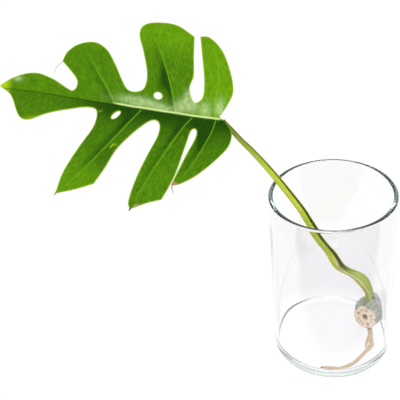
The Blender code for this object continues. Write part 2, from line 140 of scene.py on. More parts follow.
def stiffen(piece: bpy.types.Object, thickness: float, **settings: object) -> None:
    """Give a sheet its thickness.

    Args:
        piece: The sheet.
        thickness: Its thickness in mm.
        settings: The modifier's other settings.
    """
    wall = piece.modifiers.new("Thickness", "SOLIDIFY")
    wall.thickness = thickness * MM
    for name, value in settings.items():
        setattr(wall, name, value)
    apply_modifiers(piece)


def dress(piece: bpy.types.Object, materials: Sequence[bpy.types.Material],
          worn: int = 0) -> None:
    """Give a piece its materials, and all its faces one of them.

    Args:
        piece: The piece.
        materials: Its materials in order.
        worn: The place in that order of the one that its faces wear.
    """
    for material in materials:
        piece.data.materials.append(material)
    for face in piece.data.polygons:
        face.material_index = worn


def hand_over(piece: bpy.types.Object, node: str) -> None:
    """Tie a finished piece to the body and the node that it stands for.

    Args:
        piece: The finished mesh object.
        node: The CAD node that it replaces.
    """
    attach(piece, ROOT_BODY)
    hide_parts(node)
    LOG.info("%s: %d faces", piece.name, len(piece.data.polygons))


def linked(name: str, data: bpy.types.ID) -> bpy.types.Object:
    """Put a new object with its data into the scene.

    Args:
        name: The object's name.
        data: Its mesh, lamp or camera.

    Returns:
        The new object.
    """
    piece = bpy.data.objects.new(name, data)
    bpy.context.scene.collection.objects.link(piece)
    return piece


def object_from(bm: bmesh.types.BMesh, name: str) -> bpy.types.Object:
    """Turn a bmesh into a linked object.

    Args:
        bm: The mesh data, freed here.
        name: The object's name.

    Returns:
        The new object.
    """
    mesh = bpy.data.meshes.new(name)
    bm.to_mesh(mesh)
    bm.free()
    return linked(name, mesh)


def sheet_over(name: str, places: np.ndarray) -> bpy.types.Object:
    """Stretch a sheet over a grid of places.

    Args:
        name: The object's name.
        places: Rows by columns by three coordinates, in mm.

    Returns:
        The open sheet, whose vertices keep the order of the grid.
    """
    bm = bmesh.new()
    rows = [[bm.verts.new(spot) for spot in row] for row in places * MM]
    for left, right in zip(rows, rows[1:]):
        for index in range(len(left) - 1):
            bm.faces.new((left[index], right[index], right[index + 1], left[index + 1]))
    return object_from(bm, name)


def store(mesh: bpy.types.Mesh, **fields: np.ndarray) -> None:
    """Store numbers or vectors for each vertex, under the names that the materials read.

    Args:
        mesh: The mesh that carries them.
        fields: One row for each vertex, by name.
    """
    for name, values in fields.items():
        kind, field = ("FLOAT", "value") if values.ndim == 1 else ("FLOAT_VECTOR", "vector")
        attribute = mesh.attributes.new(name, kind, "POINT")
        attribute.data.foreach_set(field, values.astype(np.float32).ravel())


def places_of(mesh: bpy.types.Mesh) -> np.ndarray:
    """Read every vertex's place.

    Args:
        mesh: The mesh.

    Returns:
        The places in mm, one row each.
    """
    places = np.empty(len(mesh.vertices) * 3, np.float32)
    mesh.vertices.foreach_get("co", places)
    return places.reshape(-1, 3).astype(float) / MM


def move_to(mesh: bpy.types.Mesh, places: np.ndarray) -> None:
    """Move every vertex to its place in mm."""
    mesh.vertices.foreach_set("co", (places * MM).astype(np.float32).ravel())


def round_axis(radius: np.ndarray, angle: np.ndarray, height: np.ndarray) -> np.ndarray:
    """Places from their distance from the Z axis, their angle and their height."""
    parts = np.broadcast_arrays(radius * np.cos(angle), radius * np.sin(angle), height)
    return np.stack(parts, axis=-1)


def rod_places(share: np.ndarray, turn: np.ndarray, length: float, radius: float) -> np.ndarray:
    """Places on a straight round rod, which the grain of a bent one is laid over.

    Args:
        share: Each ring's share of the length, as a column.
        turn: The angles of a ring's points.
        length: The rod's length in mm.
        radius: The rod's radius in mm.

    Returns:
        The places, ring by ring, one row each.
    """
    parts = np.broadcast_arrays(share * length, radius * np.cos(turn), radius * np.sin(turn))
    return np.stack(parts, axis=-1).reshape(-1, 3)


def stretch(before: np.ndarray, start: np.ndarray, end: np.ndarray, after: np.ndarray,
            share: np.ndarray) -> np.ndarray:
    """The smooth stretch of a curve between two of its points.

    Args:
        before: The point before the stretch.
        start: Where the stretch starts.
        end: Where it ends.
        after: The point after it.
        share: The wanted places' shares of the way, as a column.

    Returns:
        The places, one row each.
    """
    return 0.5 * (2 * start + (end - before) * share
                  + (2 * before - 5 * start + 4 * end - after) * share ** 2
                  + (3 * start - before - 3 * end + after) * share ** 3)


def catmull(points: Marks, count: int) -> np.ndarray:
    """Evenly spaced places on the smooth curve through points of any width.

    Args:
        points: The points that the curve goes through, one row each.
        count: How many places to read, both ends included.

    Returns:
        The places, one row each.
    """
    nodes = np.asarray(points, float)
    ends = np.vstack([2 * nodes[0] - nodes[1], nodes, 2 * nodes[-1] - nodes[-2]])
    share = np.arange(CURVE_STEPS)[:, None] / CURVE_STEPS
    fine = [stretch(*ends[index:index + 4], share) for index in range(len(nodes) - 1)]
    fine = np.vstack(fine + [nodes[-1:]])
    steps = np.linalg.norm(np.diff(fine[:, :3], axis=0), axis=1)
    lengths = np.concatenate([[0.0], np.cumsum(steps)])
    wanted = np.linspace(0.0, lengths[-1], count)
    return np.stack([np.interp(wanted, lengths, column) for column in fine.T], axis=1)


def smoothstep(low: float, high: float, value: np.ndarray) -> np.ndarray:
    """A soft step from 0 at low to 1 at high."""
    share = np.clip((value - low) / (high - low), 0.0, 1.0)
    return share * share * (3.0 - 2.0 * share)


def bell(value: np.ndarray, centre: float, width: float) -> np.ndarray:
    """A soft bump of height 1 round a centre."""
    return np.exp(-((value - centre) / width) ** 2)


class Network:
    """A node tree, laid down one node at a time."""

    def __init__(self, tree: bpy.types.NodeTree) -> None:
        """Start with the tree that a new material or world has."""
        self.tree = tree

    def feed(self, socket: bpy.types.NodeSocket, value: object) -> None:
        """Link a socket to another one, or set its own number.

        Args:
            socket: The socket to feed.
            value: A socket, or a number or colour of its own.
        """
        if isinstance(value, bpy.types.NodeSocket):
            self.tree.links.new(value, socket)
        else:
            socket.default_value = value

    def add(self, kind: str, feeds: dict, **settings: object) -> bpy.types.Node:
        """Add one node.

        Args:
            kind: The node's type without its ShaderNode prefix.
            feeds: Input names or numbers, with what each is fed.
            settings: The node's own properties.

        Returns:
            The node.
        """
        node = self.tree.nodes.new("ShaderNode" + kind)
        for name, value in settings.items():
            setattr(node, name, value)
        for name, value in feeds.items():
            self.feed(node.inputs[name], value)
        return node

    def sum(self, kind: str, first: object, second: object = 0.0) -> bpy.types.NodeSocket:
        """The outcome of one Math node."""
        return self.add("Math", {0: first, 1: second}, operation=kind).outputs[0]

    def times(self, first: object, second: object) -> bpy.types.NodeSocket:
        """The product of two numbers."""
        return self.sum("MULTIPLY", first, second)

    def span(self, value: object, low: float, high: float, start: object = 0.0,
             end: object = 1.0, ramp: Ramp = Ramp.SOFT) -> bpy.types.NodeSocket:
        """Map a number from one range onto another.

        Args:
            value: The number to map.
            low: Where the range begins.
            high: Where the range ends.
            start: The outcome at and below low.
            end: The outcome at and above high.
            ramp: How the outcome runs between the two.

        Returns:
            The mapped number.
        """
        feeds = {"Value": value, "From Min": low, "From Max": high,
                 "To Min": start, "To Max": end}
        return self.add("MapRange", feeds, interpolation_type=ramp.value).outputs["Result"]


class Recipe(Network):
    """A material's node tree round its Principled shader."""

    def __init__(self, name: str) -> None:
        """Start a material of this name."""
        self.material = bpy.data.materials.new(name)
        self.material.use_nodes = True
        super().__init__(self.material.node_tree)
        self.shader = self.tree.nodes["Principled BSDF"]

    def read(self, name: str) -> bpy.types.NodeSocket:
        """The number that the piece's mesh carries under a name."""
        return self.add("Attribute", {}, attribute_name=name).outputs["Fac"]

    def place(self, name: str) -> bpy.types.NodeSocket:
        """The vector that the piece's mesh carries under a name."""
        return self.add("Attribute", {}, attribute_name=name).outputs["Vector"]

    def line(self, value: object, centre: float, width: float) -> bpy.types.NodeSocket:
        """1 on a line at centre and 0 beyond width, from a distance across the line."""
        away = self.sum("ABSOLUTE", self.sum("SUBTRACT", value, centre))
        return self.span(away, 0.0, width, 1.0, 0.0)

    def noise(self, where: object, scale: float, detail: float = 3.0,
              rough: float = 0.55) -> bpy.types.NodeSocket:
        """A noise texture's grey value."""
        feeds = {"Vector": where, "Scale": scale, "Detail": detail, "Roughness": rough}
        return self.add("TexNoise", feeds).outputs["Fac"]

    def stretched(self, where: object, scale: Triple) -> bpy.types.NodeSocket:
        """Coordinates stretched along their axes."""
        return self.add("Mapping", {"Vector": where, "Scale": scale}).outputs["Vector"]

    def blend(self, share: object, first: object, second: object) -> bpy.types.NodeSocket:
        """Mix two colours.

        Args:
            share: How much of the second colour.
            first: A colour triple or a socket.
            second: A colour triple or a socket.

        Returns:
            The mixed colour.
        """
        node = self.add("Mix", {}, data_type="RGBA")
        for socket, value in zip((0, 6, 7), (share, first, second)):
            if isinstance(value, tuple):
                value = (*value, 1.0)
            self.feed(node.inputs[socket], value)
        return node.outputs[2]

    def coats(self, colour: object, *coats: tuple[object, object]) -> bpy.types.NodeSocket:
        """Lay coats of colour over a first one.

        Args:
            colour: The colour below.
            coats: Pairs of a share and a colour. A share is a socket or the name of a
                number that the mesh carries.

        Returns:
            The colour on top.
        """
        for share, coat in coats:
            if isinstance(share, str):
                share = self.read(share)
            colour = self.blend(share, colour, coat)
        return colour

    def bump(self, height: object, depth_mm: float, strength: float) -> None:
        """Lay one more relief over the shader's normal.

        Args:
            height: The relief's height from 0 to 1.
            depth_mm: How deep a height of 1 is.
            strength: How strongly it shows.
        """
        feeds = {"Height": height, "Distance": depth_mm * MM, "Strength": strength}
        node = self.add("Bump", feeds)
        held = self.shader.inputs["Normal"]
        if held.is_linked:
            self.feed(node.inputs["Normal"], held.links[0].from_socket)
        self.feed(held, node.outputs["Normal"])

    def finish(self, **values: object) -> bpy.types.Material:
        """Feed the shader.

        Args:
            values: What its inputs are fed, by their names with _ for a space.

        Returns:
            The finished material.
        """
        for name, value in values.items():
            if isinstance(value, tuple) and len(value) == 3:
                value = (*value, 1.0)
            self.feed(self.shader.inputs[name.replace("_", " ")], value)
        return self.material


@dataclass(frozen=True)
class ClearGlass:
    """Soda glass: clear across the wall and teal green where it is seen edge-on."""

    clear: Colour = (0.955, 0.946, 0.958)
    tint: Colour = (0.22, 0.47, 0.38)
    density: float = 4.5
    ior: float = 1.5
    roughness: float = 0.0

    def material(self) -> bpy.types.Material:
        """Build the glass with an absorbing body.

        Returns:
            The material.
        """
        recipe = Recipe("clear_glass")
        body = recipe.add("VolumeAbsorption", {"Color": (*self.tint, 1.0),
                                               "Density": self.density})
        out = recipe.tree.nodes["Material Output"]
        recipe.feed(out.inputs["Volume"], body.outputs["Volume"])
        return recipe.finish(Base_Color=self.clear, Roughness=self.roughness,
                             IOR=self.ior, Transmission_Weight=1.0)


def fine_veins(recipe: Recipe, flat: object, sharpness: float) -> bpy.types.NodeSocket:
    """The fine wandering veins between the side veins, which both leaf skins show.

    Args:
        recipe: The skin's recipe.
        flat: The leaf's flat coordinates.
        sharpness: Where on its wave a vein begins.

    Returns:
        1 on the veins and 0 between them.
    """
    wander = recipe.times(recipe.noise(flat, 0.35, 2.0), 7.0)
    phase = recipe.sum("ADD", recipe.times(recipe.read("course"), 4.4), wander)
    return recipe.span(recipe.sum("SINE", phase), sharpness, 1.0)


@dataclass(frozen=True)
class LeafSkin:
    """The waxy upper face of the blade, with its veins, bands, dried tips, and painted light,
    shade and highlights.
    """

    bright: Colour = (0.120, 0.295, 0.0010)
    green: Colour = (0.036, 0.128, 0.0006)
    deep: Colour = (0.0085, 0.050, 0.0003)
    midrib: Colour = (0.56, 0.70, 0.26)
    vein: Colour = (0.17, 0.38, 0.010)
    painted_highlight: Colour = (0.46, 0.60, 0.26)
    margin: Colour = (0.32, 0.50, 0.006)
    dry: Colour = (0.46, 0.22, 0.13)
    char: Colour = (0.018, 0.013, 0.006)

    def material(self) -> bpy.types.Material:
        """Build the upper skin.

        Returns:
            The material.
        """
        recipe = Recipe("leaf_upper")
        flat, rib = recipe.place("flat"), recipe.read("rib")
        mottle = recipe.noise(flat, 0.16, 5.0, 0.6)
        patch = recipe.noise(flat, 0.42, 3.0, 0.6)
        weave = recipe.add("CombineXYZ", {"X": recipe.read("course"), "Y": rib})
        weave = recipe.stretched(weave.outputs["Vector"], (1.0, 0.3, 1.0))
        streak = recipe.noise(weave, 0.9, 5.0, 0.65)
        fine = fine_veins(recipe, flat, 0.35)
        thread = recipe.times(recipe.line(recipe.read("side_vein"), -0.1, 0.6),
                              recipe.read("vein_fade"))
        band = recipe.times(recipe.line(rib, -0.8, 0.95), recipe.read("rib_light"))
        # Painted shade: a dark line in the crease beside the midrib.
        crease = recipe.times(recipe.line(rib, 0.35, 0.7), recipe.read("rib_crease_shade"))
        gloss_and_painted_highlight = recipe.times(recipe.read("gloss_and_painted_highlight"), recipe.span(patch, 0.35, 0.62, 1.0, 0.65))
        colour = recipe.coats(
            self.green,
            # Painted light from the light tone.
            ("light", self.bright),
            (recipe.span(mottle, 0.35, 0.68, 0.0, 0.18), self.deep),
            (recipe.span(streak, 0.46, 0.72, 0.0, 0.26), self.deep),
            (recipe.span(patch, 0.48, 0.72, 0.0, 0.30), self.deep),
            (recipe.span(streak, 0.32, 0.50, 0.45, 0.0), self.bright),
            (recipe.times(fine, 0.09), self.vein),
            # Painted shade beside the side veins, along the midrib and in hollows between the
            # lobes.
            ("shade", self.deep),
            (recipe.times(thread, 0.7), self.vein),
            (recipe.span(recipe.read("edge"), 0.1, 0.8, 0.65, 0.0), self.margin),
            ("yellow", self.margin),
            (band, self.midrib),
            (crease, self.deep),
            ("nick", self.margin),
            ("dry", self.dry),
            ("char", self.char),
            # Painted highlight over the glossy spots.
            (recipe.times(gloss_and_painted_highlight, 0.62), self.painted_highlight))
        recipe.bump(fine, 0.03, 0.35)
        recipe.bump(recipe.noise(flat, 1.3, 3.0), 0.05, 0.4)
        gloss = recipe.span(gloss_and_painted_highlight, 0.0, 0.6, 0.80, 0.26)
        return recipe.finish(Base_Color=colour, Roughness=gloss, IOR=1.16,
                             Specular_IOR_Level=0.5)


@dataclass(frozen=True)
class LeafBack:
    """The paler matte underside with its raised net of veins."""

    pale: Colour = (0.150, 0.320, 0.030)
    green: Colour = (0.095, 0.240, 0.014)
    rib: Colour = (0.36, 0.50, 0.10)
    dry: Colour = (0.30, 0.13, 0.05)

    def material(self) -> bpy.types.Material:
        """Build the underside.

        Returns:
            The material.
        """
        recipe = Recipe("leaf_under")
        flat = recipe.place("flat")
        fine = fine_veins(recipe, flat, 0.2)
        vein = recipe.times(recipe.line(recipe.read("side_vein"), 0.0, 0.9),
                            recipe.read("vein_fade"))
        colour = recipe.coats(
            self.green,
            (recipe.noise(flat, 0.5, 5.0, 0.6), self.pale),
            (recipe.times(fine, 0.25), self.rib),
            (recipe.times(vein, 0.8), self.rib),
            (recipe.line(recipe.read("rib"), -0.8, 2.2), self.rib),
            ("dry", self.dry))
        recipe.bump(fine, 0.08, 0.5)
        recipe.bump(vein, 0.3, 0.7)
        return recipe.finish(Base_Color=colour, Roughness=0.55)


@dataclass(frozen=True)
class StalkSkin:
    """The channelled stalk: bright back, groove darkened by painted shade, dried papery lips."""

    bright: Colour = (0.50, 0.58, 0.030)
    olive: Colour = (0.150, 0.220, 0.006)
    groove: Colour = (0.105, 0.150, 0.003)
    inner: Colour = (0.62, 0.80, 0.20)
    dry: Colour = (0.82, 0.70, 0.40)
    brown: Colour = (0.20, 0.085, 0.025)

    def material(self) -> bpy.types.Material:
        """Build the stalk's skin.

        Returns:
            The material.
        """
        recipe = Recipe("stalk_skin")
        own = recipe.place("own")
        along = recipe.read("along")
        grain = recipe.noise(recipe.stretched(own, (0.08, 1.0, 1.0)), 2.4, 4.0)
        # Painted shade: the channel is dark beyond the sheath, and pale green inside the sheath.
        channel = recipe.blend(recipe.span(along, 0.16, 0.27), self.inner, self.groove)
        colour = recipe.coats(
            self.bright,
            (recipe.span(along, 0.66, 1.0), self.olive),
            (recipe.span(grain, 0.3, 0.75, 0.0, 0.3), self.olive),
            ("groove", channel),
            ("dry", self.dry),
            ("brown", self.brown))
        recipe.bump(grain, 0.10, 0.5)
        return recipe.finish(Base_Color=colour, Roughness=0.42)


@dataclass(frozen=True)
class StemSkin:
    """Grey-green waxy skin and the pale cut face with its ring of vessels."""

    skin: Colour = (0.62, 0.68, 0.54)
    teal: Colour = (0.27, 0.34, 0.27)
    tan: Colour = (0.95, 0.74, 0.53)
    cream: Colour = (0.97, 0.88, 0.72)
    brown: Colour = (0.20, 0.09, 0.06)

    def material(self) -> bpy.types.Material:
        """Build the stem's skin and cut face.

        Returns:
            The material.
        """
        recipe = Recipe("stem_skin")
        own = recipe.place("own")
        streak = recipe.noise(recipe.stretched(own, (1.0, 1.0, 0.12)), 0.55, 4.0)
        flesh = recipe.noise(own, 0.9, 5.0, 0.65)
        cut = recipe.coats(
            self.tan,
            (recipe.span(flesh, 0.35, 0.7), self.cream),
            ("vessel", self.brown),
            ("ring", self.cream),
            ("pith", self.brown))
        colour = recipe.coats(
            self.teal,
            (recipe.span(streak, 0.35, 0.65), self.skin),
            ("face", cut),
            ("scar", self.brown))
        recipe.bump(flesh, 0.25, 0.6)
        return recipe.finish(Base_Color=colour, Roughness=0.55)


@dataclass(frozen=True)
class DryPaper:
    """Torn remains of the old sheath: tan, thin and streaky."""

    pale: Colour = (0.86, 0.82, 0.70)
    tan: Colour = (0.56, 0.44, 0.30)

    def material(self) -> bpy.types.Material:
        """Build the dry paper.

        Returns:
            The material.
        """
        recipe = Recipe("dry_paper")
        streak = recipe.noise(recipe.stretched(recipe.place("own"), (1.0, 1.0, 0.15)), 1.6, 4.0)
        colour = recipe.blend(recipe.span(streak, 0.35, 0.7), self.tan, self.pale)
        recipe.bump(streak, 0.15, 0.7)
        return recipe.finish(Base_Color=colour, Roughness=0.8)


@dataclass(frozen=True)
class ClearFilm:
    """The loose clear skin that has come away from the node: grey, thin and see-through, with
    painted highlights along its creases.
    """

    grey: Colour = (0.30, 0.30, 0.28)
    crease_highlight: Colour = (0.86, 0.87, 0.84)
    cover: float = 0.55

    def material(self) -> bpy.types.Material:
        """Build the film.

        Returns:
            The material.
        """
        recipe = Recipe("clear_film")
        crease = recipe.noise(recipe.place("own"), 0.55, 4.0, 0.7)
        # Painted highlights: white lines along the creases.
        colour = recipe.blend(recipe.line(crease, 0.56, 0.03), self.grey, self.crease_highlight)
        recipe.bump(crease, 0.3, 0.6)
        return recipe.finish(Base_Color=colour, Roughness=0.35, Alpha=self.cover)


@dataclass(frozen=True)
class RootBark:
    """Dry corky bark, tan, with folds darkened by painted shade and a dark tip."""

    pale: Colour = (0.97, 0.783, 0.513)
    tan: Colour = (0.702, 0.472, 0.27)
    brown: Colour = (0.189, 0.0945, 0.0473)

    def material(self) -> bpy.types.Material:
        """Build the bark.

        Returns:
            The material.
        """
        recipe = Recipe("root_bark")
        own = recipe.place("own")
        grain = recipe.noise(recipe.stretched(own, (0.25, 1.0, 1.0)), 1.5, 5.0, 0.65)
        colour = recipe.coats(
            self.tan,
            (recipe.span(grain, 0.35, 0.68), self.pale),
            # Dark tip and ring, and painted shade in the folds.
            ("dark", self.brown))
        recipe.bump(grain, 0.3, 0.8)
        return recipe.finish(Base_Color=colour, Roughness=0.8)


def turned_piece(name: str, outline: Marks, around: int, ends: Ends) -> bpy.types.Object:
    """A solid turned round Z, drawn up ring by ring from a filled circle.

    Args:
        name: The object's name.
        outline: Pairs of radius and height in mm, from one end to the other.
        around: How many sides it has.
        ends: How its two ends are closed.

    Returns:
        The object, not yet placed.
    """
    leave_all()
    first_radius, first_height = outline[0]
    bpy.ops.mesh.primitive_circle_add(vertices=around, radius=first_radius * MM,
                                      fill_type=ends.value,
                                      location=(0.0, 0.0, first_height * MM))
    piece = bpy.context.object
    piece.name = name
    bpy.ops.object.transform_apply(location=True)
    bpy.ops.object.mode_set(mode="EDIT")
    bpy.ops.mesh.select_mode(type="EDGE")
    bpy.ops.mesh.select_all(action="SELECT")
    bpy.ops.mesh.region_to_loop()
    for (last_radius, last_height), (radius, height) in zip(outline, outline[1:]):
        rise = (0.0, 0.0, (height - last_height) * MM)
        bpy.ops.mesh.extrude_edges_move(TRANSFORM_OT_translate={"value": rise})
        growth = radius / last_radius
        bpy.ops.transform.resize(value=(growth, growth, 1.0),
                                 center_override=(0.0, 0.0, height * MM))
    if ends is Ends.FLAT:
        bpy.ops.mesh.edge_face_add()
    else:
        bpy.ops.mesh.merge(type="CENTER")
    bpy.ops.mesh.select_all(action="SELECT")
    bpy.ops.mesh.normals_make_consistent(inside=False)
    bpy.ops.object.mode_set(mode="OBJECT")
    return piece


@dataclass
class GlassVase:
    """The straight-sided glass, drawn up ring by ring from its underside.

    Sizes are in mm. hold is how close an extra ring lies to a bend, to keep the flat beside it
    flat, and bands is how many steps each long straight side has.
    """

    radius: float = 40.0
    height: float = 125.0
    wall: float = 2.4
    floor: float = 5.0
    foot_round: float = 4.0
    inner_round: float = 4.5
    hold: float = 0.35
    bands: int = 12
    around: int = 256
    lip: float = 0.4
    lip_depth: float = 9.0
    finish: ClearGlass = ClearGlass()

    def profile(self) -> list[Pair]:
        """The outline from the foot over the rim down to the inner floor.

        Returns:
            Pairs of radius and height in mm.
        """
        inner = self.radius - self.wall
        lip = self.wall / 2.0
        rounds = (
            (self.radius - self.foot_round, self.foot_round, self.foot_round, -90, 0, 8),
            (self.radius - lip, self.height - lip, lip, 0, 180, 12),
            (inner - self.inner_round, self.floor + self.inner_round, self.inner_round,
             0, -90, 8),
        )
        middle = self.radius / 2.0
        points = [(middle, 0.0), (self.radius - self.foot_round - self.hold, 0.0)]
        for across, high, bend, start, end, steps in rounds:
            for step in range(steps + 1):
                angle = math.radians(start + (end - start) * step / steps)
                points.append((across + bend * math.cos(angle), high + bend * math.sin(angle)))
        held: list[Pair] = []
        for (first, low), (second, high) in zip(points, points[1:]):
            held.append((first, low))
            rise = high - low
            if abs(rise) > self.height / 2.0:
                step = math.copysign(self.hold, rise)
                held.append((first, low + step))
                held += [(first, low + rise * part / self.bands)
                         for part in range(1, self.bands)]
                held.append((second, high - step))
        held += [points[-1], (inner - self.inner_round - self.hold, self.floor),
                 (middle, self.floor)]
        return held

    def build(self) -> bpy.types.Object:
        """Model the glass.

        Returns:
            The finished glass.
        """
        glass = turned_piece("glass", self.profile(), self.around, Ends.FLAT)
        self.wave(glass.data)
        settle(glass, 60.0)
        dress(glass, [self.finish.material()])
        return glass

    def wave(self, mesh: bpy.types.Mesh) -> None:
        """Give the inside the slight waves of blown glass and the lip its thicker bead.

        Args:
            mesh: The closed glass.
        """
        own = places_of(mesh)
        x, y, z = own.T
        radius = np.hypot(x, y)
        angle = np.arctan2(y, x)
        inner = (radius < self.radius - 0.6 * self.wall) & (z > 0.5 * self.floor)
        fade = inner * smoothstep(0.0, 20.0, self.height - 6.0 - z)
        upright = smoothstep(self.floor + 1.0, self.floor + 9.0, z) * fade
        wave = 0.03 * np.sin(5 * angle + 0.03 * z) + 0.015 * np.sin(13 * angle - 0.05 * z + 1.0)
        middle = self.radius - 0.5 * self.wall
        lip = self.lip * smoothstep(self.height - self.lip_depth, self.height - 1.5, z)
        swell = -lip * smoothstep(middle + 0.4, middle - 0.8, radius)
        shift = (wave * upright + swell) / np.maximum(radius, 1.0)
        own[:, :2] *= 1.0 + shift[:, None]
        move_to(mesh, own)


@dataclass
class CutStem:
    """The short piece of main stem with its node, lying on the glass's floor."""

    face: Triple = (23.4, -0.4, 17.6)
    axis: Triple = (0.622, 0.761, -0.206)
    length: float = 10.0
    around: int = 128
    finish: StemSkin = StemSkin()
    swelling: float = 2.9
    swollen_side: Triple = (-0.43, 0.54, 0.72)
    outline: Marks = (
        (6.9, -2.2), (7.4, -1.8), (7.8, -1.1), (8.5, -0.4), (8.6, 0.3), (8.5, 1.0),
        (8.3, 2.0), (8.3, 3.6), (8.4, 5.0), (8.6, 6.2), (8.7, 7.6), (8.75, 8.6),
        (8.7, 9.3), (8.5, 9.7), (8.2, 9.95), (7.8, 10.05), (7.3, 10.1), (6.7, 10.1),
        (6.2, 10.05), (5.8, 10.0), (5.4, 9.95), (5.0, 9.95), (4.6, 10.0), (4.2, 10.05),
        (3.8, 10.1), (3.4, 10.1), (3.0, 10.05), (2.6, 9.9), (2.2, 9.5), (1.8, 9.1),
        (1.4, 8.9), (1.0, 8.85), (0.6, 8.8), (0.2, 8.8),
    )

    def place(self) -> Matrix:
        """Where the stem's own axes lie: its Z points out of the near cut face.

        Returns:
            The place, in metres.
        """
        run = Vector(self.axis).normalized()
        turn = (-run).to_track_quat("Z", "Y").to_matrix().to_4x4()
        return Matrix.Translation((Vector(self.face) + run * self.length) * MM) @ turn

    def roughen(self, mesh: bpy.types.Mesh) -> None:
        """Wrinkle the skin and the cut face, and note what the finish needs.

        Args:
            mesh: The turned stem in its own axes.
        """
        own = places_of(mesh)
        x, y, z = own.T
        radius = np.hypot(x, y)
        angle = np.arctan2(y, x)
        side = smoothstep(6.0, 7.8, radius)
        wrinkle = 0.10 * np.sin(9 * angle + 0.3 * z) + 0.07 * np.sin(23 * angle + 1.3 * z)
        ring = 0.16 * bell(z, 3.4, 0.5) - 0.20 * bell(z, 2.4, 0.4)
        towards = self.place().to_3x3().inverted() @ Vector(self.swollen_side)
        faced = np.clip(np.cos(angle - math.atan2(towards.y, towards.x)), 0.0, 1.0) ** 1.2
        swell = self.swelling * smoothstep(9.2, 3.0, z) * faced
        grown = 1.0 + (side * (wrinkle + ring) + swell) / np.maximum(radius, 1.0)
        own[:, :2] *= grown[:, None]
        top = smoothstep(8.4, 9.6, z) * (1.0 - side)
        own[:, 2] += top * 0.12 * np.sin(2.1 * x + 0.7) * np.sin(1.9 * y + 0.4)
        move_to(mesh, own)
        dots = np.maximum(np.sin(11 * angle + 2.0 * np.sin(3 * angle)), 0.0) ** 2
        edge = bell(radius, 8.3, 0.6) * smoothstep(8.8, 9.6, z)
        spots = np.maximum(np.sin(5 * angle + 1.0), 0.0) ** 4
        store(mesh, own=own, face=np.where(radius < 7.0, z > 4.0, smoothstep(9.5, 9.9, z)) * 1.0,
              vessel=dots * bell(radius, 5.4, 0.9), ring=bell(radius, 3.3, 0.7),
              pith=0.85 * (1.0 - smoothstep(1.4, 2.6, radius)), scar=edge * spots)

    def build(self) -> bpy.types.Object:
        """Model the stem.

        Returns:
            The finished stem.
        """
        stem = turned_piece("cut_stem", self.outline, self.around, Ends.FAN)
        self.roughen(stem.data)
        stem.matrix_world = self.place()
        settle(stem)
        dress(stem, [self.finish.material()])
        return stem


@dataclass
class TornCollar:
    """The ragged paper band round the node, and the loose clear film beside it.

    Sizes are in mm. film_arc is the film's reach round the stem from film_side, and clearance
    is how far from the glass's axis it may stand.
    """

    stem: CutStem
    radius: float = 8.85
    thickness: float = 0.3
    opening: float = math.radians(38.0)
    columns: int = 220
    rows: int = 8
    film_side: Triple = (0.779, -0.625, 0.043)
    film_arc: Pair = (math.radians(-32.0), math.radians(108.0))
    film_start: float = 8.6
    film_reach: float = 5.2
    film_thickness: float = 0.08
    film_columns: int = 140
    film_rows: int = 24
    clearance: float = 37.1
    finish: DryPaper = DryPaper()
    film_finish: ClearFilm = ClearFilm()

    def film(self, place: Matrix) -> bpy.types.Object:
        """The loose skin that stands off the node's far end, against the glass.

        Args:
            place: Where the stem's own axes lie.

        Returns:
            The film.
        """
        towards = place.to_3x3().inverted() @ Vector(self.film_side)
        first, last = self.film_arc
        share = np.linspace(0.0, 1.0, self.film_columns + 1)[:, None]
        down = np.linspace(0.0, 1.0, self.film_rows + 1)[None, :]
        angle = math.atan2(towards.y, towards.x) + first + share * (last - first)
        ragged = 1.0 + 0.10 * np.sin(9.0 * angle) + 0.06 * np.sin(23.0 * angle + 1.0)
        ragged *= smoothstep(-0.02, 0.12, share) * smoothstep(1.02, 0.86, share)
        radius = self.film_start + self.film_reach * ragged * down
        depth = 1.6 - 4.6 * down + 0.35 * np.sin(17.0 * angle + 5.0 * down) * down
        own = round_axis(radius, angle, depth)
        turn, shift = np.array(place.to_3x3()), np.array(place.translation) / MM
        places = own @ turn.T + shift
        out = np.hypot(places[..., 0], places[..., 1])
        places[..., :2] *= np.minimum(1.0, self.clearance / out)[..., None]
        film = sheet_over("film", places)
        store(film.data, own=own.reshape(-1, 3))
        stiffen(film, self.film_thickness)
        dress(film, (self.finish.material(), self.film_finish.material()), 1)
        return film

    def build(self) -> bpy.types.Object:
        """Model the band.

        Returns:
            The finished band.
        """
        place = self.stem.place()
        upward = place.to_3x3().inverted() @ Vector((0.0, 0.0, 1.0))
        start = math.atan2(upward.y, upward.x) + self.opening
        share = np.arange(self.columns + 1)[:, None] / self.columns
        up = np.arange(self.rows + 1)[None, :] / self.rows
        angle = start + share * (math.tau - 2.0 * self.opening)
        tear = np.sin(11 * angle) + 0.6 * np.sin(23 * angle) + 0.4 * np.sin(57 * angle)
        width = 2.2 + 0.55 * tear
        curl = 0.25 + 0.25 * np.sin(7 * angle + 1.0)
        radius = self.radius + 0.1 * np.sin(31 * angle) * up + curl * up ** 2
        own = round_axis(radius, angle, -0.6 + width * up)
        collar = sheet_over("torn_collar", own)
        store(collar.data, own=own.reshape(-1, 3))
        stiffen(collar, self.thickness, offset=1.0)
        collar.matrix_world = place
        film = self.film(place)
        settle(collar)
        dress(collar, film.data.materials)
        join(collar, [film])
        settle(collar)
        return collar


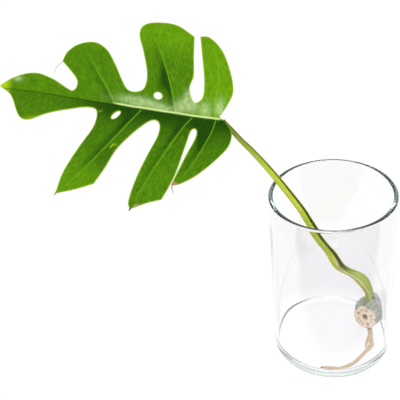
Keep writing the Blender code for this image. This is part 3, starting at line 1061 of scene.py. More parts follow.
def lofted(name: str, rings: np.ndarray) -> bpy.types.Object:
    """Bridge a row of closed rings into a solid with flat ends.

    Args:
        name: The object's name.
        rings: Stations by points by three coordinates, in metres.

    Returns:
        The closed solid, whose vertices keep the order of the rings.
    """
    bm = bmesh.new()
    lines = [[bm.verts.new(point) for point in ring] for ring in rings]
    for lower, upper in zip(lines, lines[1:]):
        for index in range(len(lower)):
            after = (index + 1) % len(lower)
            bm.faces.new((lower[index], lower[after], upper[after], upper[index]))
    bm.faces.new(list(reversed(lines[0])))
    bm.faces.new(lines[-1])
    bmesh.ops.recalc_face_normals(bm, faces=bm.faces)
    return object_from(bm, name)


def ring_frames(places: np.ndarray, facings: np.ndarray) -> tuple[np.ndarray, np.ndarray]:
    """The two directions across a path at each of its places.

    Args:
        places: The path, one row each.
        facings: Where the section's X axis should point at each place.

    Returns:
        The X and the Y direction of the section, one row each.
    """
    along = np.gradient(places, axis=0)
    along /= np.linalg.norm(along, axis=1)[:, None]
    out = facings - along * (facings * along).sum(1)[:, None]
    out /= np.linalg.norm(out, axis=1)[:, None]
    return out, np.cross(along, out)


def round_rings(path: np.ndarray, facings: np.ndarray, half: np.ndarray,
                turn: np.ndarray) -> np.ndarray:
    """Round rings across a path.

    Args:
        path: The path in mm, one row each.
        facings: Where the ring's first point should lie at each place.
        half: The half thickness in mm, by place and by point round the ring.
        turn: The angles of the ring's points.

    Returns:
        The rings in metres: places by points by three coordinates.
    """
    out, side = ring_frames(path, facings)
    spokes = (np.cos(turn)[None, :, None] * out[:, None]
              + np.sin(turn)[None, :, None] * side[:, None])
    return (path[:, None] + half[..., None] * spokes) * MM


@dataclass
class LeafStalk:
    """The petiole, channelled above, with an open sheath at its foot."""

    stations: int = 420
    back_points: int = 40
    channel_points: int = 24
    grain: Pair = (180.0, 3.0)
    facing_low: Triple = (0.45, -0.75, 0.50)
    facing_high: Triple = (0.70, -0.45, 0.55)
    finish: StalkSkin = StalkSkin()
    path: Marks = (
        # x, y, z, half thickness in mm
        (31.0, 10.6, 20.8, 3.6), (30.3, 10.1, 24.6, 3.6), (29.3, 9.5, 29.0, 3.5),
        (28.2, 9.0, 33.4, 3.5),
        (25.4, 8.0, 40.1, 3.9), (22.7, 7.3, 45.2, 4.1), (19.7, 7.0, 48.9, 3.7),
        (16.1, 7.0, 52.1, 3.0), (12.5, 7.3, 54.6, 2.8), (9.0, 7.8, 57.0, 3.0),
        (6.0, 8.4, 60.0, 3.4), (3.8, 9.0, 64.2, 3.6), (1.9, 9.5, 68.5, 3.4),
        (-0.2, 10.0, 72.5, 3.1), (-2.4, 10.5, 76.2, 2.9), (-7.8, 11.5, 85.2, 2.8),
        (-13.3, 12.8, 95.8, 2.7), (-17.3, 13.9, 104.0, 2.6), (-24.2, 15.7, 115.4, 2.4),
        (-31.7, 17.6, 127.1, 2.3), (-39.4, 18.0, 139.1, 2.1), (-47.1, 17.9, 150.4, 1.9),
        (-53.2, 17.4, 158.8, 1.7), (-57.4, 16.8, 165.3, 1.6), (-60.6, 16.2, 170.1, 1.6),
        (-63.9, 15.6, 174.8, 1.7),
    )
    channel: Marks = (
        # share of the length, distance of the channel's centre, its radius
        (0.00, 0.90, 0.34), (0.05, 0.66, 0.52), (0.09, 0.52, 0.70), (0.20, 0.50, 0.70),
        (0.28, 0.62, 0.52),
        (0.34, 0.72, 0.44), (0.45, 0.66, 0.48), (0.62, 0.78, 0.38), (0.70, 0.96, 0.26),
        (0.85, 1.10, 0.22), (1.00, 1.16, 0.22),
    )

    def section(self, centre: float, radius: float) -> tuple[np.ndarray, np.ndarray]:
        """A round section of radius 1 with a round channel cut into its +X side.

        Args:
            centre: How far the channel's centre is from the middle.
            radius: The channel's own radius.

        Returns:
            The points, and how deep each lies inside the channel from 0 to 1.
        """
        lip = math.acos((1.0 + centre ** 2 - radius ** 2) / (2.0 * centre))
        turn = lip + (math.tau - 2.0 * lip) * np.arange(self.back_points + 1) / self.back_points
        back = np.stack([np.cos(turn), np.sin(turn)], axis=1)
        reach = math.atan2(math.sin(lip), math.cos(lip) - centre)
        steps = np.arange(1, self.channel_points) / self.channel_points
        turn = -reach - (math.tau - 2.0 * reach) * steps
        inner = np.stack([centre + radius * np.cos(turn), radius * np.sin(turn)], axis=1)
        depth = np.concatenate([np.zeros(len(back)), np.clip(4.0 * steps * (1.0 - steps), 0, 1)])
        return np.vstack([back, inner]), depth

    def build(self) -> bpy.types.Object:
        """Model the stalk.

        Returns:
            The finished stalk.
        """
        path = catmull(self.path, self.stations)
        share = np.linspace(0.0, 1.0, self.stations)
        facing = np.outer(1.0 - share, self.facing_low) + np.outer(share, self.facing_high)
        out, side = ring_frames(path[:, :3], facing)
        shape = np.array(self.channel)
        rings, depths = [], []
        for index, along in enumerate(share):
            mark = np.searchsorted(shape[:, 0], along, side="left")
            mark = min(max(mark, 1), len(shape) - 1)
            low, high = shape[mark - 1], shape[mark]
            cut = low + (high - low) * smoothstep(low[0], high[0], along)
            points, depth = self.section(*cut[1:])
            spokes = points[:, :1] * out[index] + points[:, 1:] * side[index]
            rings.append((path[index, :3] + path[index, 3] * spokes) * MM)
            depths.append(depth)
        stalk = lofted("leaf_stalk", np.array(rings))
        self.note(stalk.data, share, np.array(depths))
        settle(stalk, 70.0)
        dress(stalk, [self.finish.material()])
        return stalk

    def note(self, mesh: bpy.types.Mesh, share: np.ndarray, depths: np.ndarray) -> None:
        """Store what the finish needs at each vertex.

        Args:
            mesh: The lofted stalk, in the order of its rings.
            share: Each station's share of the length.
            depths: How deep each point lies in the channel, station by station.
        """
        count = depths.shape[1]
        along = np.repeat(share, count)
        turn = math.tau * np.arange(count) / count
        own = rod_places(share[:, None], turn, *self.grain)
        point = np.tile(np.arange(count), len(share))
        from_lip = np.minimum(np.minimum(point, count - point), np.abs(point - self.back_points))
        lip = np.clip(1.25 - from_lip / 4.0, 0.0, 1.0)
        sheath = smoothstep(0.02, 0.06, along) * (1.0 - smoothstep(0.27, 0.33, along))
        # The groove field marks the channel, which the skin darkens with painted shade.
        store(mesh, own=own, along=along, groove=smoothstep(0.02, 0.45, depths.ravel()),
              dry=lip * sheath, brown=0.7 * lip * bell(along, 0.26, 0.02))


@dataclass
class DryRoot:
    """The aerial root on the glass's floor, with its peeled strip of bark."""

    vase: GlassVase
    gap: float = 0.3
    around: int = 28
    stations: int = 260
    peel_stations: int = 50
    grain: Pair = (60.0, 2.0)
    finish: RootBark = RootBark()
    path: Marks = (
        # x, y, half thickness and lift off the floor in mm
        (26.6, 0.8, 1.5, 1.5), (27.2, -1.2, 1.45, 0.7), (27.0, -3.4, 1.6, 0.0),
        (26.1, -7.6, 1.65, 0.0),
        (24.9, -12.2, 1.6, 0.0), (24.2, -16.4, 1.75, 0.0), (22.2, -19.0, 1.4, 0.0),
        (18.6, -22.2, 1.15, 0.0), (12.1, -28.2, 1.1, 0.0), (6.4, -32.0, 1.1, 0.0),
        (-0.3, -35.0, 1.15, 0.0), (-6.8, -34.7, 1.3, 0.0), (-10.8, -33.7, 1.15, 0.1),
        (-13.4, -32.9, 0.55, 0.5),
    )
    peel: Marks = (
        (25.4, -8.0, 0.8, 1.2), (22.9, -11.6, 0.9, 1.0), (21.0, -15.6, 0.75, 0.5),
        (20.2, -17.8, 0.35, 0.5),
    )

    def resting(self, x: float, y: float, half: float, lift: float) -> tuple[float, ...]:
        """Where the middle of a root of this half thickness lies on the glass's floor.

        Args:
            x: Place along X in mm.
            y: Place along Y in mm.
            half: Half thickness in mm.
            lift: Extra height in mm.

        Returns:
            x, y, z and the half thickness.
        """
        bend = self.vase.inner_round
        beyond = math.hypot(x, y) - (self.vase.radius - self.vase.wall - bend)
        clear = half + self.gap
        height = self.vase.floor + clear
        if beyond > 0.0:
            height = self.vase.floor + bend - math.sqrt((bend - clear) ** 2 - beyond ** 2)
        return x, y, height + lift, half

    def strand(self, name: str, marks: Marks, stations: int) -> bpy.types.Object:
        """One wrinkled strand along resting places.

        Args:
            name: The object's name.
            marks: The strand's marks.
            stations: How many rings it has.

        Returns:
            The strand.
        """
        path = catmull([self.resting(*mark) for mark in marks], stations)
        facing = np.tile((0.0, 0.0, 1.0), (stations, 1))
        turn = math.tau * np.arange(self.around) / self.around
        share = np.linspace(0.0, 1.0, stations)[:, None]
        fold = (0.07 * np.sin(5 * turn + 9 * share) + 0.05 * np.sin(9 * turn - 31 * share)
                + 0.05 * np.sin(70 * share + 2 * turn) * np.sin(23 * share))
        root = lofted(name, round_rings(path[:, :3], facing, path[:, 3:] * (0.97 + fold), turn))
        # Dark: the tip, a ring near the cut end, and painted shade in the hollows of the folds.
        dark = (smoothstep(0.965, 0.99, share) + 0.6 * bell(share, 0.06, 0.02)
                + np.clip(-fold * 5.0 - 0.3, 0.0, 1.0))
        store(root.data, own=rod_places(share, turn, *self.grain),
              dark=np.clip(dark, 0.0, 1.0).ravel())
        return root

    def build(self) -> bpy.types.Object:
        """Model the root.

        Returns:
            The finished root.
        """
        root = self.strand("dry_root", self.path, self.stations)
        join(root, [self.strand("peel", self.peel, self.peel_stations)])
        settle(root, 80.0)
        dress(root, [self.finish.material()])
        return root


def line_distances(points: np.ndarray,
                   line: np.ndarray) -> tuple[np.ndarray, np.ndarray, np.ndarray]:
    """How far flat points lie from a line of points.

    Args:
        points: One row for each point.
        line: The line's points in order.

    Returns:
        The distances, which side each point is on (1 left of the line's run, -1 right of it),
        and each nearest place's share of the line.
    """
    start, run = line[:-1], np.diff(line, axis=0)
    best = np.full(len(points), np.inf)
    turn = np.ones(len(points))
    course = np.zeros(len(points))
    for index in range(len(run)):
        gap = points - start[index]
        share = np.clip(gap @ run[index] / (run[index] @ run[index]), 0.0, 1.0)
        rest = gap - share[:, None] * run[index]
        far = np.hypot(rest[:, 0], rest[:, 1])
        cross = run[index][0] * gap[:, 1] - run[index][1] * gap[:, 0]
        nearer = far < best
        best[nearer] = far[nearer]
        turn[nearer] = np.where(cross[nearer] >= 0.0, 1.0, -1.0)
        course[nearer] = (index + share[nearer]) / len(run)
    return best, turn, course


def from_lines(points: np.ndarray, lines: Iterable[np.ndarray]) -> np.ndarray:
    """How far flat points lie from the nearest of several lines."""
    return np.min([line_distances(points, line)[0] for line in lines], axis=0)


def inside(points: np.ndarray, ring: np.ndarray) -> np.ndarray:
    """Which flat points lie inside a closed ring.

    Args:
        points: One row for each point.
        ring: The ring's points in order.

    Returns:
        True for each point inside.
    """
    found = np.zeros(len(points), bool)
    for first, second in zip(ring, np.roll(ring, -1, axis=0)):
        if first[1] == second[1]:
            continue
        crosses = (first[1] > points[:, 1]) != (second[1] > points[:, 1])
        share = (points[:, 1] - first[1]) / (second[1] - first[1])
        found ^= crosses & (points[:, 0] < first[0] + share * (second[0] - first[0]))
    return found


@dataclass
class SplitLeaf:
    """The blade: three lobes on each side, a long end lobe, two holes and a sunk midrib."""

    joint: Triple = (-66.7, 15.0, 177.9)
    tilt: float = math.radians(-45.0)
    spin: float = math.radians(-15.2)
    length: float = 134.5
    thickness: float = 0.5
    rib_thickness: float = 2.1
    edge_step: float = 0.8
    grid_step: float = 1.05
    hole_points: int = 26
    upper: LeafSkin = LeafSkin()
    under: LeafBack = LeafBack()
    outline: Marks = (
        # end lobe, far side
        (136.7, -1.4, 1), (127, -7.0), (114, -10.3), (103, -8.0), (91.5, -2.8), (88.3, -2.2),
        (86.3, -5.0), (87.6, -9.6),
        # far lobes from the tip to the joint
        (97.6, -18.6, 1), (95.4, -24.6), (89.5, -29.8), (80, -32.4), (71.6, -28.6),
        (65, -20.4), (59.4, -11.6), (55.4, -6.9), (50.2, -6.4), (45.8, -9.6),
        (45.6, -18.0), (49.6, -30.0), (54.0, -41.0), (52.2, -47.4), (44, -50.5),
        (32.5, -50.6), (21.4, -45.4, 1), (19.6, -32.0), (18.0, -21.6), (19.2, -13.4),
        (15.2, -6.2), (10.8, -10.0),
        (11.4, -20.0), (14.6, -33.0), (18.0, -46.4, 1), (12.6, -47.0), (4.4, -41.2),
        (-2.2, -30.4), (-6.6, -17.6), (-4.6, -8.4), (-0.9, -0.9, 1),
        # near lobes from the joint to the tip
        (-5.2, 1.7), (-9.6, 7.8), (-9.2, 16.6), (-2.8, 27.0), (6.4, 37.6), (15.4, 44.6),
        (20.3, 46.4, 1), (17.9, 38.0), (14.5, 26.6), (10.9, 15.0), (11.6, 10.2),
        (14.3, 11.6), (15.9, 22.0), (18.4, 37.6), (21.0, 47.0), (24.3, 55.6, 1),
        (32.4, 59.0), (41.6, 63.8, 1), (43.2, 59.6), (41.2, 47.0), (37.4, 33.0),
        (32.8, 17.6), (34.0, 9.9), (39.2, 10.2),
        (48.0, 20.2), (55.2, 31.2), (59.6, 42.6), (64.6, 53.0, 1), (75, 57.6),
        (86.6, 61.4, 1), (83.8, 48.6), (77.6, 33.6), (71.2, 19.2), (71.2, 9.4),
        (76.4, 7.1),
        # end lobe, near side
        (88, 10.1), (101, 14.4), (111.0, 19.4), (118.2, 17.8), (125.4, 6.6), (130, 2.2),
    )
    holes: Marks = ((37.0, -6.1, 2.5, 2.0, 0.0), (59.5, 9.7, 3.4, 1.5, 54.0))
    whisker_sides: int = 6
    whisker_rings: int = 12
    whiskers: tuple[tuple[Marks, float, Side], ...] = (
        # places along and across the leaf, half thickness and the face whose skin it wears
        (((97.0, -18.6), (99.4, -16.4), (101.0, -13.4), (101.4, -10.2)), 0.22, Side.UNDER),
        (((19.6, 46.2), (19.5, 47.9), (18.7, 49.3), (18.3, 50.8)), 0.28, Side.UPPER),
        (((86.0, 60.8), (86.6, 61.8), (86.7, 62.6)), 0.35, Side.UPPER),
        (((41.2, 63.0), (41.8, 64.2), (41.8, 65.0)), 0.5, Side.UPPER),
    )
    veins: tuple[Marks, ...] = (
        ((62.0, 1.9), (68.0, -6.5), (73.3, -12.9), (77.6, -18.4), (82.5, -25.5)),
        ((25.5, 1.8), (29.0, -9.5), (33.6, -20.0), (37.5, -28.0), (45.0, -42.0)),
        ((2.0, -0.4), (3.1, -9.9), (3.0, -19.7), (4.2, -28.1), (8.0, -39.0)),
        ((1.0, 1.2), (2.2, 9.0), (4.3, 15.8), (9.0, 28.9), (15.5, 41.5)),
        ((14.5, 1.8), (19.3, 10.0), (27.0, 27.0), (35.4, 47.0), (39.8, 60.0)),
        ((45.0, 2.9), (50.6, 12.0), (59.2, 26.0), (71.5, 44.0), (84.0, 59.0)),
    )
    vein_shades: tuple[float, ...] = (0.7, 1.2, 0.0, 1.3, 0.9, 1.0)
    # Glossy spots, which also carry a painted highlight in the skin's colour.
    gloss_and_highlight_spots: Marks = (
        # place along and across the leaf, reach along and across in mm
        (48.0, -1.0, 12.0, 2.6), (22.5, -2.5, 4.2, 3.6), (16.0, -4.0, 3.0, 3.8),
        (19.5, -8.5, 2.4, 3.6), (8.0, -3.0, 3.0, 4.2), (0.0, -6.0, 2.4, 5.0),
        (124.5, -6.2, 3.0, 1.4), (35.0, 0.4, 9.0, 1.6),
        (108.0, 18.3, 5.5, 0.9),
    )
    dried_spots: Marks = (
        # place along and across the leaf and reach in mm
        (19.4, 46.2, 1.3), (17.9, 45.2, 1.1), (38.6, 61.6, 0.9), (36.9, 60.9, 0.8),
    )
    charred_spots: Marks = ((41.7, 63.6, 0.9), (86.2, 61.3, 0.6), (19.6, 45.6, 0.5))
    nicks: tuple[Marks, ...] = (
        ((68.0, 8.3), (71.0, 9.8)), ((55.0, 27.5), (57.5, 28.0), (59.0, 30.0)),
        ((18.4, 15.4), (18.6, 16.2)), ((21.4, 31.8), (21.5, 32.0)),
    )
    rib_line: Marks = ((-2.0, 0.9), (0.0, 1.3), (15.0, 2.3), (30.0, 2.8), (50.0, 3.2),
                       (62.0, 2.9), (75.0, 2.8), (85.0, 2.4), (100.0, 1.4), (122.0, 0.1),
                       (134.5, -0.4))

    def axes(self) -> Matrix:
        """The turn from the leaf's own axes to the world's."""
        faced = Matrix.Rotation(math.pi, 3, "Z") @ Matrix.Rotation(self.tilt, 3, "X")
        return faced @ Matrix.Rotation(self.spin, 3, "Z")

    def ring(self) -> np.ndarray:
        """The outline as a ring of closely spaced points.

        Returns:
            One row for each point, in mm.
        """
        marks = self.outline
        places = [np.array(mark[:2], float) for mark in marks]
        sharp = [len(mark) == 3 for mark in marks]
        ring = []
        for index in range(len(marks)):
            after = (index + 1) % len(marks)
            start, end = places[index], places[after]
            before = 2 * start - end if sharp[index] else places[index - 1]
            beyond = 2 * end - start if sharp[after] else places[(index + 2) % len(marks)]
            pieces = max(1, round(float(np.linalg.norm(end - start)) / self.edge_step))
            share = np.arange(pieces)[:, None] / pieces
            ring.append(stretch(before, start, end, beyond, share))
        return np.vstack(ring)

    def hole_ring(self, hole: tuple[float, ...]) -> np.ndarray:
        """The ring round one hole.

        Args:
            hole: Its place along and across the leaf, half length, half width and turn.

        Returns:
            One row for each point, in mm.
        """
        along, across, half_length, half_width, turn = hole
        angle = math.tau * np.arange(self.hole_points) / self.hole_points
        shape = np.stack([half_length * np.cos(angle), half_width * np.sin(angle)], axis=1)
        turn = math.radians(turn)
        spun = np.array(((math.cos(turn), math.sin(turn)), (-math.sin(turn), math.cos(turn))))
        return np.array((along, across)) + shape @ spun

    def relief(self, flat: np.ndarray, veins: list[np.ndarray]) -> np.ndarray:
        """How far the sheet stands out of the leaf's plane.

        Args:
            flat: Places on the sheet in mm.
            veins: The midrib and the side veins as lines of points.

        Returns:
            The heights in mm.
        """
        along, across = flat.T
        share = along / self.length
        arch = 9.0 * np.sin(0.8 * math.pi * np.clip(share, -0.2, 1.1))
        droop = -12.0 * np.maximum(share, 0.0) ** 2
        valley = 0.25 * (np.hypot(across, 2.0) - 2.0) - 0.0035 * across ** 2
        nearest = from_lines(flat, veins)
        quilt = 1.1 * (1.0 - np.exp(-(nearest / 5.0) ** 2))
        groove = -0.15 * np.exp(-(nearest / 0.7) ** 2)
        ripple = 0.18 * np.sin(0.31 * along + 0.12 * across) * np.sin(0.27 * across + 0.8)
        return arch + droop + valley + quilt + groove + ripple

    def sheet(self) -> tuple[np.ndarray, list[tuple[int, ...]], list[np.ndarray]]:
        """Cut the flat sheet to its outline and holes.

        Returns:
            The sheet's flat places, its faces, and the rings of its edges.
        """
        rings = [self.ring()] + [self.hole_ring(hole) for hole in self.holes]
        closed = [np.vstack([ring, ring[:1]]) for ring in rings]
        low, high = rings[0].min(0), rings[0].max(0)
        row_height = self.grid_step * math.sqrt(3.0) / 2.0
        rows = np.arange(low[1], high[1], row_height)
        columns = np.arange(low[0], high[0], self.grid_step)
        grid = np.array([(column + 0.5 * self.grid_step * (index % 2), row)
                         for index, row in enumerate(rows) for column in columns])
        grid = grid[inside(grid, rings[0])]
        edge = from_lines(grid, closed)
        for ring in rings[1:]:
            edge[inside(grid, ring)] = 0.0
        grid = grid[edge > 0.5 * self.grid_step]
        places = np.vstack(rings + [grid])
        edges = []
        first = 0
        for ring in rings:
            count = len(ring)
            edges += [(first + index, first + (index + 1) % count) for index in range(count)]
            first += count
        spots = [Vector(place) for place in places]
        verts, _, faces, *_ = delaunay_2d_cdt(spots, edges, [], 0, 0.0001)
        flat = np.array([tuple(vert) for vert in verts])
        middles = np.array([flat[list(face)].mean(0) for face in faces])
        kept = inside(middles, rings[0])
        for ring in rings[1:]:
            kept &= ~inside(middles, ring)
        return flat, [tuple(face) for face, keep in zip(faces, kept) if keep], closed

    def vein_fields(self, flat: np.ndarray) -> tuple[dict[str, np.ndarray], np.ndarray]:
        """Distances to the veins and the course of the fine veins between them.

        Args:
            flat: The sheet's places in mm.

        Returns:
            The fields that the finishes read, by name, and how strong the painted shade is beside
            the side veins.
        """
        along, across = flat.T
        rib_at = np.interp(along, *np.array(self.rib_line).T)
        rib = across - rib_at
        nearest = np.full(len(flat), np.inf)
        side, fade, dusk, course = np.zeros((4, len(flat)))
        signed = []
        for vein, weight in zip(self.veins, self.vein_shades):
            line = catmull(vein, CURVE_STEPS)
            far_side = vein[-1][1] < 0.0
            distance, turn, way = line_distances(flat, line)
            tipward = distance * turn * (1.0 if far_side else -1.0)
            signed.append((far_side, vein[0][0], tipward))
            own = (rib < 0.0) == far_side
            take = own & (distance < nearest)
            nearest[take] = distance[take]
            side[take] = tipward[take]
            fade[take] = (1.0 - 0.65 * way[take] ** 2) * (way[take] < 0.995)
            dusk[take] = weight * (1.0 - way[take] ** 2)
        for far_side in (True, False):
            rows = sorted((base, tipward) for side_of, base, tipward in signed
                          if side_of == far_side)
            mine = (rib < 0.0) == far_side
            bases = [row[0] for row in rows]
            fields = [row[1] for row in rows]
            value = bases[0] + fields[0] * 1.1
            for index in range(len(rows) - 1):
                lower, upper = fields[index], fields[index + 1]
                share = lower / np.maximum(lower - upper, 0.01)
                between = (lower > 0.0) & (upper <= 0.0)
                run = bases[index] + share * (bases[index + 1] - bases[index])
                value = np.where(between, run, value)
            value = np.where(fields[-1] > 0.0, bases[-1] + fields[-1] * 1.1, value)
            course = np.where(mine, value, course)
        return {"rib": rib, "side_vein": side, "vein_fade": fade, "course": course}, dusk

    def tones(self, flat: np.ndarray, fields: dict[str, np.ndarray],
              dusk: np.ndarray) -> dict[str, np.ndarray]:
        """Where the skin has painted light, painted shade and painted highlights, and where it is
        yellowed, torn or dried.

        Args:
            flat: The sheet's places in mm.
            fields: The vein fields.
            dusk: How strong the painted shade is beside the side veins.

        Returns:
            The tones from 0 to 1, by name.
        """
        along, across = flat.T
        rib, side = fields["rib"], fields["side_vein"]
        near = smoothstep(-0.5, 0.5, rib)
        # Painted light: the end lobe, the far half by the joint and outwards, the near outer
        # lobes.
        light = 0.34 - 0.14 * near + 0.10 * smoothstep(85.0, 110.0, along)
        light += (1.0 - near) * 0.70 * (1.0 - smoothstep(10.0, 18.0, along))
        light += (1.0 - near) * 0.60 * smoothstep(24.0, 44.0, -across)
        light += 0.30 * near * smoothstep(34.0, 50.0, across) * smoothstep(50.0, 66.0, along)
        light = np.clip(light + 0.15 * near * smoothstep(24.0, 44.0, across), 0.0, 1.0)
        # Painted shade: along the side veins, along the midrib, and in three hollows between
        # them.
        tipward = bell(side, 1.6, 1.9) * (side > 0.1)
        shade = 0.66 * tipward * dusk
        shade += near * 0.95 * bell(rib, 0.0, 12.0) * (1.0 - smoothstep(60.0, 98.0, along))
        shade += 0.85 * bell(along, 35.0, 4.0) * bell(across, -16.0, 7.0) * (side > 0)
        shade += 0.9 * near * bell(along, 7.5, 4.0) * (1.0 - smoothstep(12.0, 26.0, across))
        shade += 0.4 * bell(along, 60.0, 9.0) * bell(across, 38.0, 10.0)
        yellow = smoothstep(126.0, 134.0, along)
        yellow += 0.5 * bell(along, 108.0, 6.0) * bell(across, 18.5, 1.6)
        dry, char, nick, gloss_and_painted_highlight = np.zeros((4, len(flat)))
        for spots, tone in ((self.dried_spots, dry), (self.charred_spots, char)):
            for middle_along, middle_across, reach in spots:
                tone += bell(along, middle_along, reach) * bell(across, middle_across, reach)
        for stroke in self.nicks:
            nick += bell(line_distances(flat, np.array(stroke))[0], 0.0, 0.26)
        # Glossy spots, lower in roughness and lightened by a painted highlight.
        for middle_along, middle_across, reach_along, reach_across in self.gloss_and_highlight_spots:
            gloss_and_painted_highlight += 1.25 * (bell(along, middle_along, reach_along)
                             * bell(across, middle_across, reach_across))
        rib_light = (1.0 - smoothstep(58.0, 65.0, along)) * smoothstep(-3.0, 0.0, along)
        # How strong the painted shade in the midrib's crease is, weaker towards the tip.
        rib_crease_shade = 1.0 - 0.45 * smoothstep(60.0, 120.0, along)
        return {"light": light, "shade": np.clip(shade, 0, 0.93), "yellow": np.clip(yellow, 0, 1),
                "dry": np.clip(dry, 0, 1), "char": np.clip(char, 0, 1),
                "nick": np.clip(nick, 0, 0.7), "rib_light": rib_light, "rib_crease_shade": rib_crease_shade,
                "gloss_and_painted_highlight": np.clip(gloss_and_painted_highlight, 0, 1) * (rib < 0.5)}

    def build(self) -> bpy.types.Object:
        """Model the blade.

        Returns:
            The finished leaf.
        """
        flat, faces, closed = self.sheet()
        lines = [np.array(self.rib_line)]
        lines += [catmull(vein, CURVE_STEPS) for vein in self.veins]
        height = self.relief(flat, lines)
        turn = np.array(self.axes())
        places = np.array(self.joint) + np.column_stack([flat, height]) @ turn.T
        mesh = bpy.data.meshes.new("split_leaf")
        mesh.from_pydata((places * MM).tolist(), [], faces)
        leaf = linked("split_leaf", mesh)
        self.face_up(mesh, turn[:, 2])
        fields, dusk = self.vein_fields(flat)
        store(mesh, **fields, **self.tones(flat, fields, dusk), edge=from_lines(flat, closed),
              flat=np.column_stack([flat, np.zeros(len(flat))]))
        self.thicken(leaf, flat, fields)
        self.add_whiskers(leaf, turn, lines)
        settle(leaf, 75.0)
        return leaf

    def add_whiskers(self, leaf: bpy.types.Object, turn: np.ndarray,
                     lines: list[np.ndarray]) -> None:
        """Join the torn thread and the dried hairs at the lobes' tips to the leaf.

        Args:
            leaf: The leaf with its thickness.
            turn: The turn from the leaf's own axes to the world's.
            lines: The lines that the relief reads.
        """
        angle = math.tau * np.arange(self.whisker_sides) / self.whisker_sides
        hairs = []
        for marks, half, side in self.whiskers:
            line = catmull(marks, self.whisker_rings)
            height = self.relief(line, lines) - 0.5 * self.thickness
            path = np.array(self.joint) + np.column_stack([line, height]) @ turn.T
            widths = half * np.linspace(1.0, 0.5, len(path))[:, None]
            facing = np.tile(turn[:, 2], (len(path), 1))
            hair = lofted("whisker", round_rings(path, facing, widths, angle))
            dress(hair, leaf.data.materials, side.value)
            store(hair.data, char=np.ones(len(hair.data.vertices)))
            hairs.append(hair)
        join(leaf, hairs)

    def face_up(self, mesh: bpy.types.Mesh, upward: np.ndarray) -> None:
        """Turn the sheet's faces towards its upper side.

        Args:
            mesh: The sheet.
            upward: The direction of the upper side.
        """
        total = sum(polygon.normal.dot(Vector(upward)) for polygon in mesh.polygons)
        if total < 0.0:
            mesh.flip_normals()

    def thicken(self, leaf: bpy.types.Object, flat: np.ndarray,
                fields: dict[str, np.ndarray]) -> None:
        """Give the sheet its thickness, most of it along the midrib, and its two finishes.

        Args:
            leaf: The sheet.
            flat: Its flat places in mm.
            fields: The vein fields.
        """
        slimming = 1.0 - 0.75 * np.clip(flat[:, 0] / self.length, 0.0, 1.0)
        rib = slimming * bell(fields["rib"], -0.6, 2.3)
        vein = 0.25 * fields["vein_fade"] * bell(fields["side_vein"], 0.0, 0.8)
        weight = np.clip(np.maximum(rib, vein), 0.0, 1.0)
        group = leaf.vertex_groups.new(name="stoutness")
        for index, value in enumerate(weight):
            group.add([index], float(value), "REPLACE")
        dress(leaf, (self.upper.material(), self.under.material()), Side.UPPER.value)
        stiffen(leaf, self.rib_thickness, offset=-1.0, vertex_group=group.name,
                thickness_vertex_group=self.thickness / self.rib_thickness,
                material_offset=Side.UNDER.value)


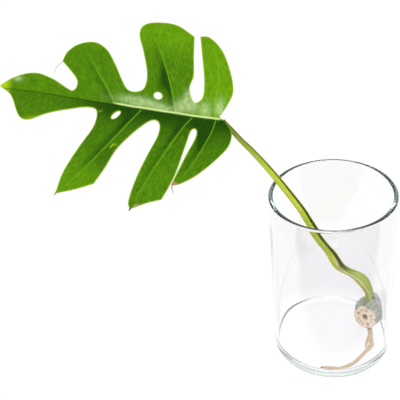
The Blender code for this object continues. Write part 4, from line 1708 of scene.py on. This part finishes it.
@dataclass
class Studio:
    """The pale floor, the soft light and the camera.

    A reach says where an effect begins and ends on the floor: glow_reach from its middle,
    spared_reach along X, front_reach and spared_front along Y. The floor and the world are
    darker for light that the glass has mirrored, most of all after deep_bounces, and the world
    is brighter by inner_lift for light that has come through the glass from the cutting.
    """

    floor_size: float = 12.0
    floor_colour: Colour = (0.12, 0.12, 0.12)
    mirrored_floor: Colour = (0.22, 0.22, 0.22)
    glow: Pair = (1.12, 0.90)
    glow_reach: Pair = (0.036, 0.062)
    front_reach: Pair = (-0.075, -0.045)
    light_level: float = 0.92
    inner_level: float = 1.0
    inner_lift: float = 1.5
    gloss_level: float = 0.05
    spared_reach: Pair = (0.022, 0.034)
    spared_front: Pair = (-0.03, -0.02)
    deep_bounces: Pair = (8.0, 13.0)
    deep_shade: float = 0.82
    bounces: int = 64
    panel_size: Pair = (0.34, 0.20)
    panel_power: float = 4.7
    panel_place: Triple = (-0.19, -0.86, 0.56)
    panel_aim: Triple = (-0.10, 0.0, 0.18)
    camera_place: Triple = (-0.0825, -0.4100, 0.4162)
    right: Triple = (0.9945, -0.0598, -0.0857)
    up: Triple = (0.1045, 0.5690, 0.8157)
    focal_px: float = 809.0
    frame_px: float = 400.0
    sensor: float = 36.0

    def lay_floor(self) -> None:
        """Lay the pale floor, which glows brighter under the glass as painted light against its
        shadow and is darker where the glass mirrors it.
        """
        leave_all()
        bpy.ops.mesh.primitive_plane_add(size=self.floor_size, location=(0.0, 0.0, -0.0003))
        floor = bpy.context.object
        floor.name = "studio_floor"
        recipe = Recipe("pale_floor")
        place = recipe.add("TexCoord", {}).outputs["Object"]
        out = recipe.add("VectorMath", {0: place}, operation="LENGTH").outputs["Value"]
        # Painted light: the floor glows brighter under the glass than round it.
        glow = recipe.span(out, *self.glow_reach, *self.glow)
        parts = recipe.add("SeparateXYZ", {0: place}).outputs
        front = recipe.span(parts["Y"], *self.front_reach, 1.0, 0.0)
        aside = recipe.sum("ABSOLUTE", parts["X"])
        spared = recipe.times(recipe.span(aside, *self.spared_reach, 1.0, 0.0),
                              recipe.span(parts["Y"], *self.spared_front, 1.0, 0.0))
        mirrored = recipe.add("LightPath", {}).outputs["Glossy Depth"]
        deep = recipe.span(mirrored, *self.deep_bounces, 0.0, self.deep_shade)
        deep = recipe.times(deep, recipe.sum("SUBTRACT", 1.0, spared))
        mirrored = recipe.times(front, recipe.sum("MINIMUM", mirrored, 1.0))
        mirrored = recipe.sum("MAXIMUM", mirrored, deep)
        glow = recipe.times(glow, recipe.sum("SUBTRACT", 1.0, mirrored))
        colour = recipe.blend(mirrored, self.floor_colour, self.mirrored_floor)
        dress(floor, [recipe.finish(
            Base_Color=colour, Roughness=0.9, Specular_IOR_Level=0.0,
            Emission_Color=(1.0, 1.0, 1.0), Emission_Strength=glow)])

    def light(self) -> None:
        """Light the scene softly from all round, with one large soft panel in front."""
        scene = bpy.context.scene
        scene.world = bpy.data.worlds.new("studio")
        scene.world.use_nodes = True
        sky = Network(scene.world.node_tree)
        rays = sky.add("LightPath", {}).outputs
        even = Ramp.STRAIGHT
        inner = sky.span(rays["Transmission Depth"], 0.0, 1.0, self.gloss_level,
                         self.inner_level, even)
        level = sky.span(rays["Glossy Depth"], 0.0, 1.0, self.light_level, inner, even)
        within = sky.sum("MINIMUM", rays["Transmission Depth"], rays["Diffuse Depth"])
        lift = sky.span(within, 0.0, 1.0, 1.0, self.inner_lift, even)
        deep = sky.span(rays["Glossy Depth"], *self.deep_bounces, 1.0, 1.0 - self.deep_shade,
                        even)
        background = sky.tree.nodes["Background"].inputs
        sky.feed(background["Color"], (1.0, 1.0, 1.0, 1.0))
        sky.feed(background["Strength"], sky.times(sky.times(level, lift), deep))
        for kind in ("max", "glossy", "transmission"):
            setattr(scene.cycles, f"{kind}_bounces", self.bounces)
        scene.view_settings.view_transform = "Standard"
        panel = bpy.data.lights.new("front_panel", "AREA")
        panel.shape = "RECTANGLE"
        panel.size, panel.size_y = self.panel_size
        panel.energy = self.panel_power
        lamp = linked("front_panel", panel)
        lamp.location = self.panel_place
        aim = Vector(self.panel_aim) - lamp.location
        lamp.rotation_euler = aim.to_track_quat("-Z", "Y").to_euler()

    def set_camera(self) -> None:
        """Stand the camera where the picture was taken from."""
        data = bpy.data.cameras.new("picture_camera")
        data.sensor_width = self.sensor
        data.lens = self.sensor * self.focal_px / self.frame_px
        data.clip_start = 0.01
        camera = linked("picture_camera", data)
        right = Vector(self.right).normalized()
        up = (Vector(self.up) - right * right.dot(Vector(self.up))).normalized()
        turned = Matrix((right, up, right.cross(up))).transposed().to_4x4()
        camera.matrix_world = Matrix.Translation(self.camera_place) @ turned
        bpy.context.scene.camera = camera


def main() -> None:
    """Build every piece in order and set the studio up."""
    logging.basicConfig(level=logging.INFO, format="%(name)s: %(message)s")
    vase = GlassVase()
    stem = CutStem()
    for part, node, slot in ((vase, "glass_vase", Slot.GLASS),
                             (stem, "stem_section", Slot.STEM),
                             (TornCollar(stem), "dry_collar", Slot.PAPER),
                             (LeafStalk(), "petiole", Slot.STALK),
                             (DryRoot(vase), "aerial_root", Slot.ROOT),
                             (SplitLeaf(), "leaf_blade", Slot.LEAF)):
        hand_over(part.build(), node)
    studio = Studio()
    studio.lay_floor()
    studio.light()
    studio.set_camera()


if __name__ == "__main__":
    main()
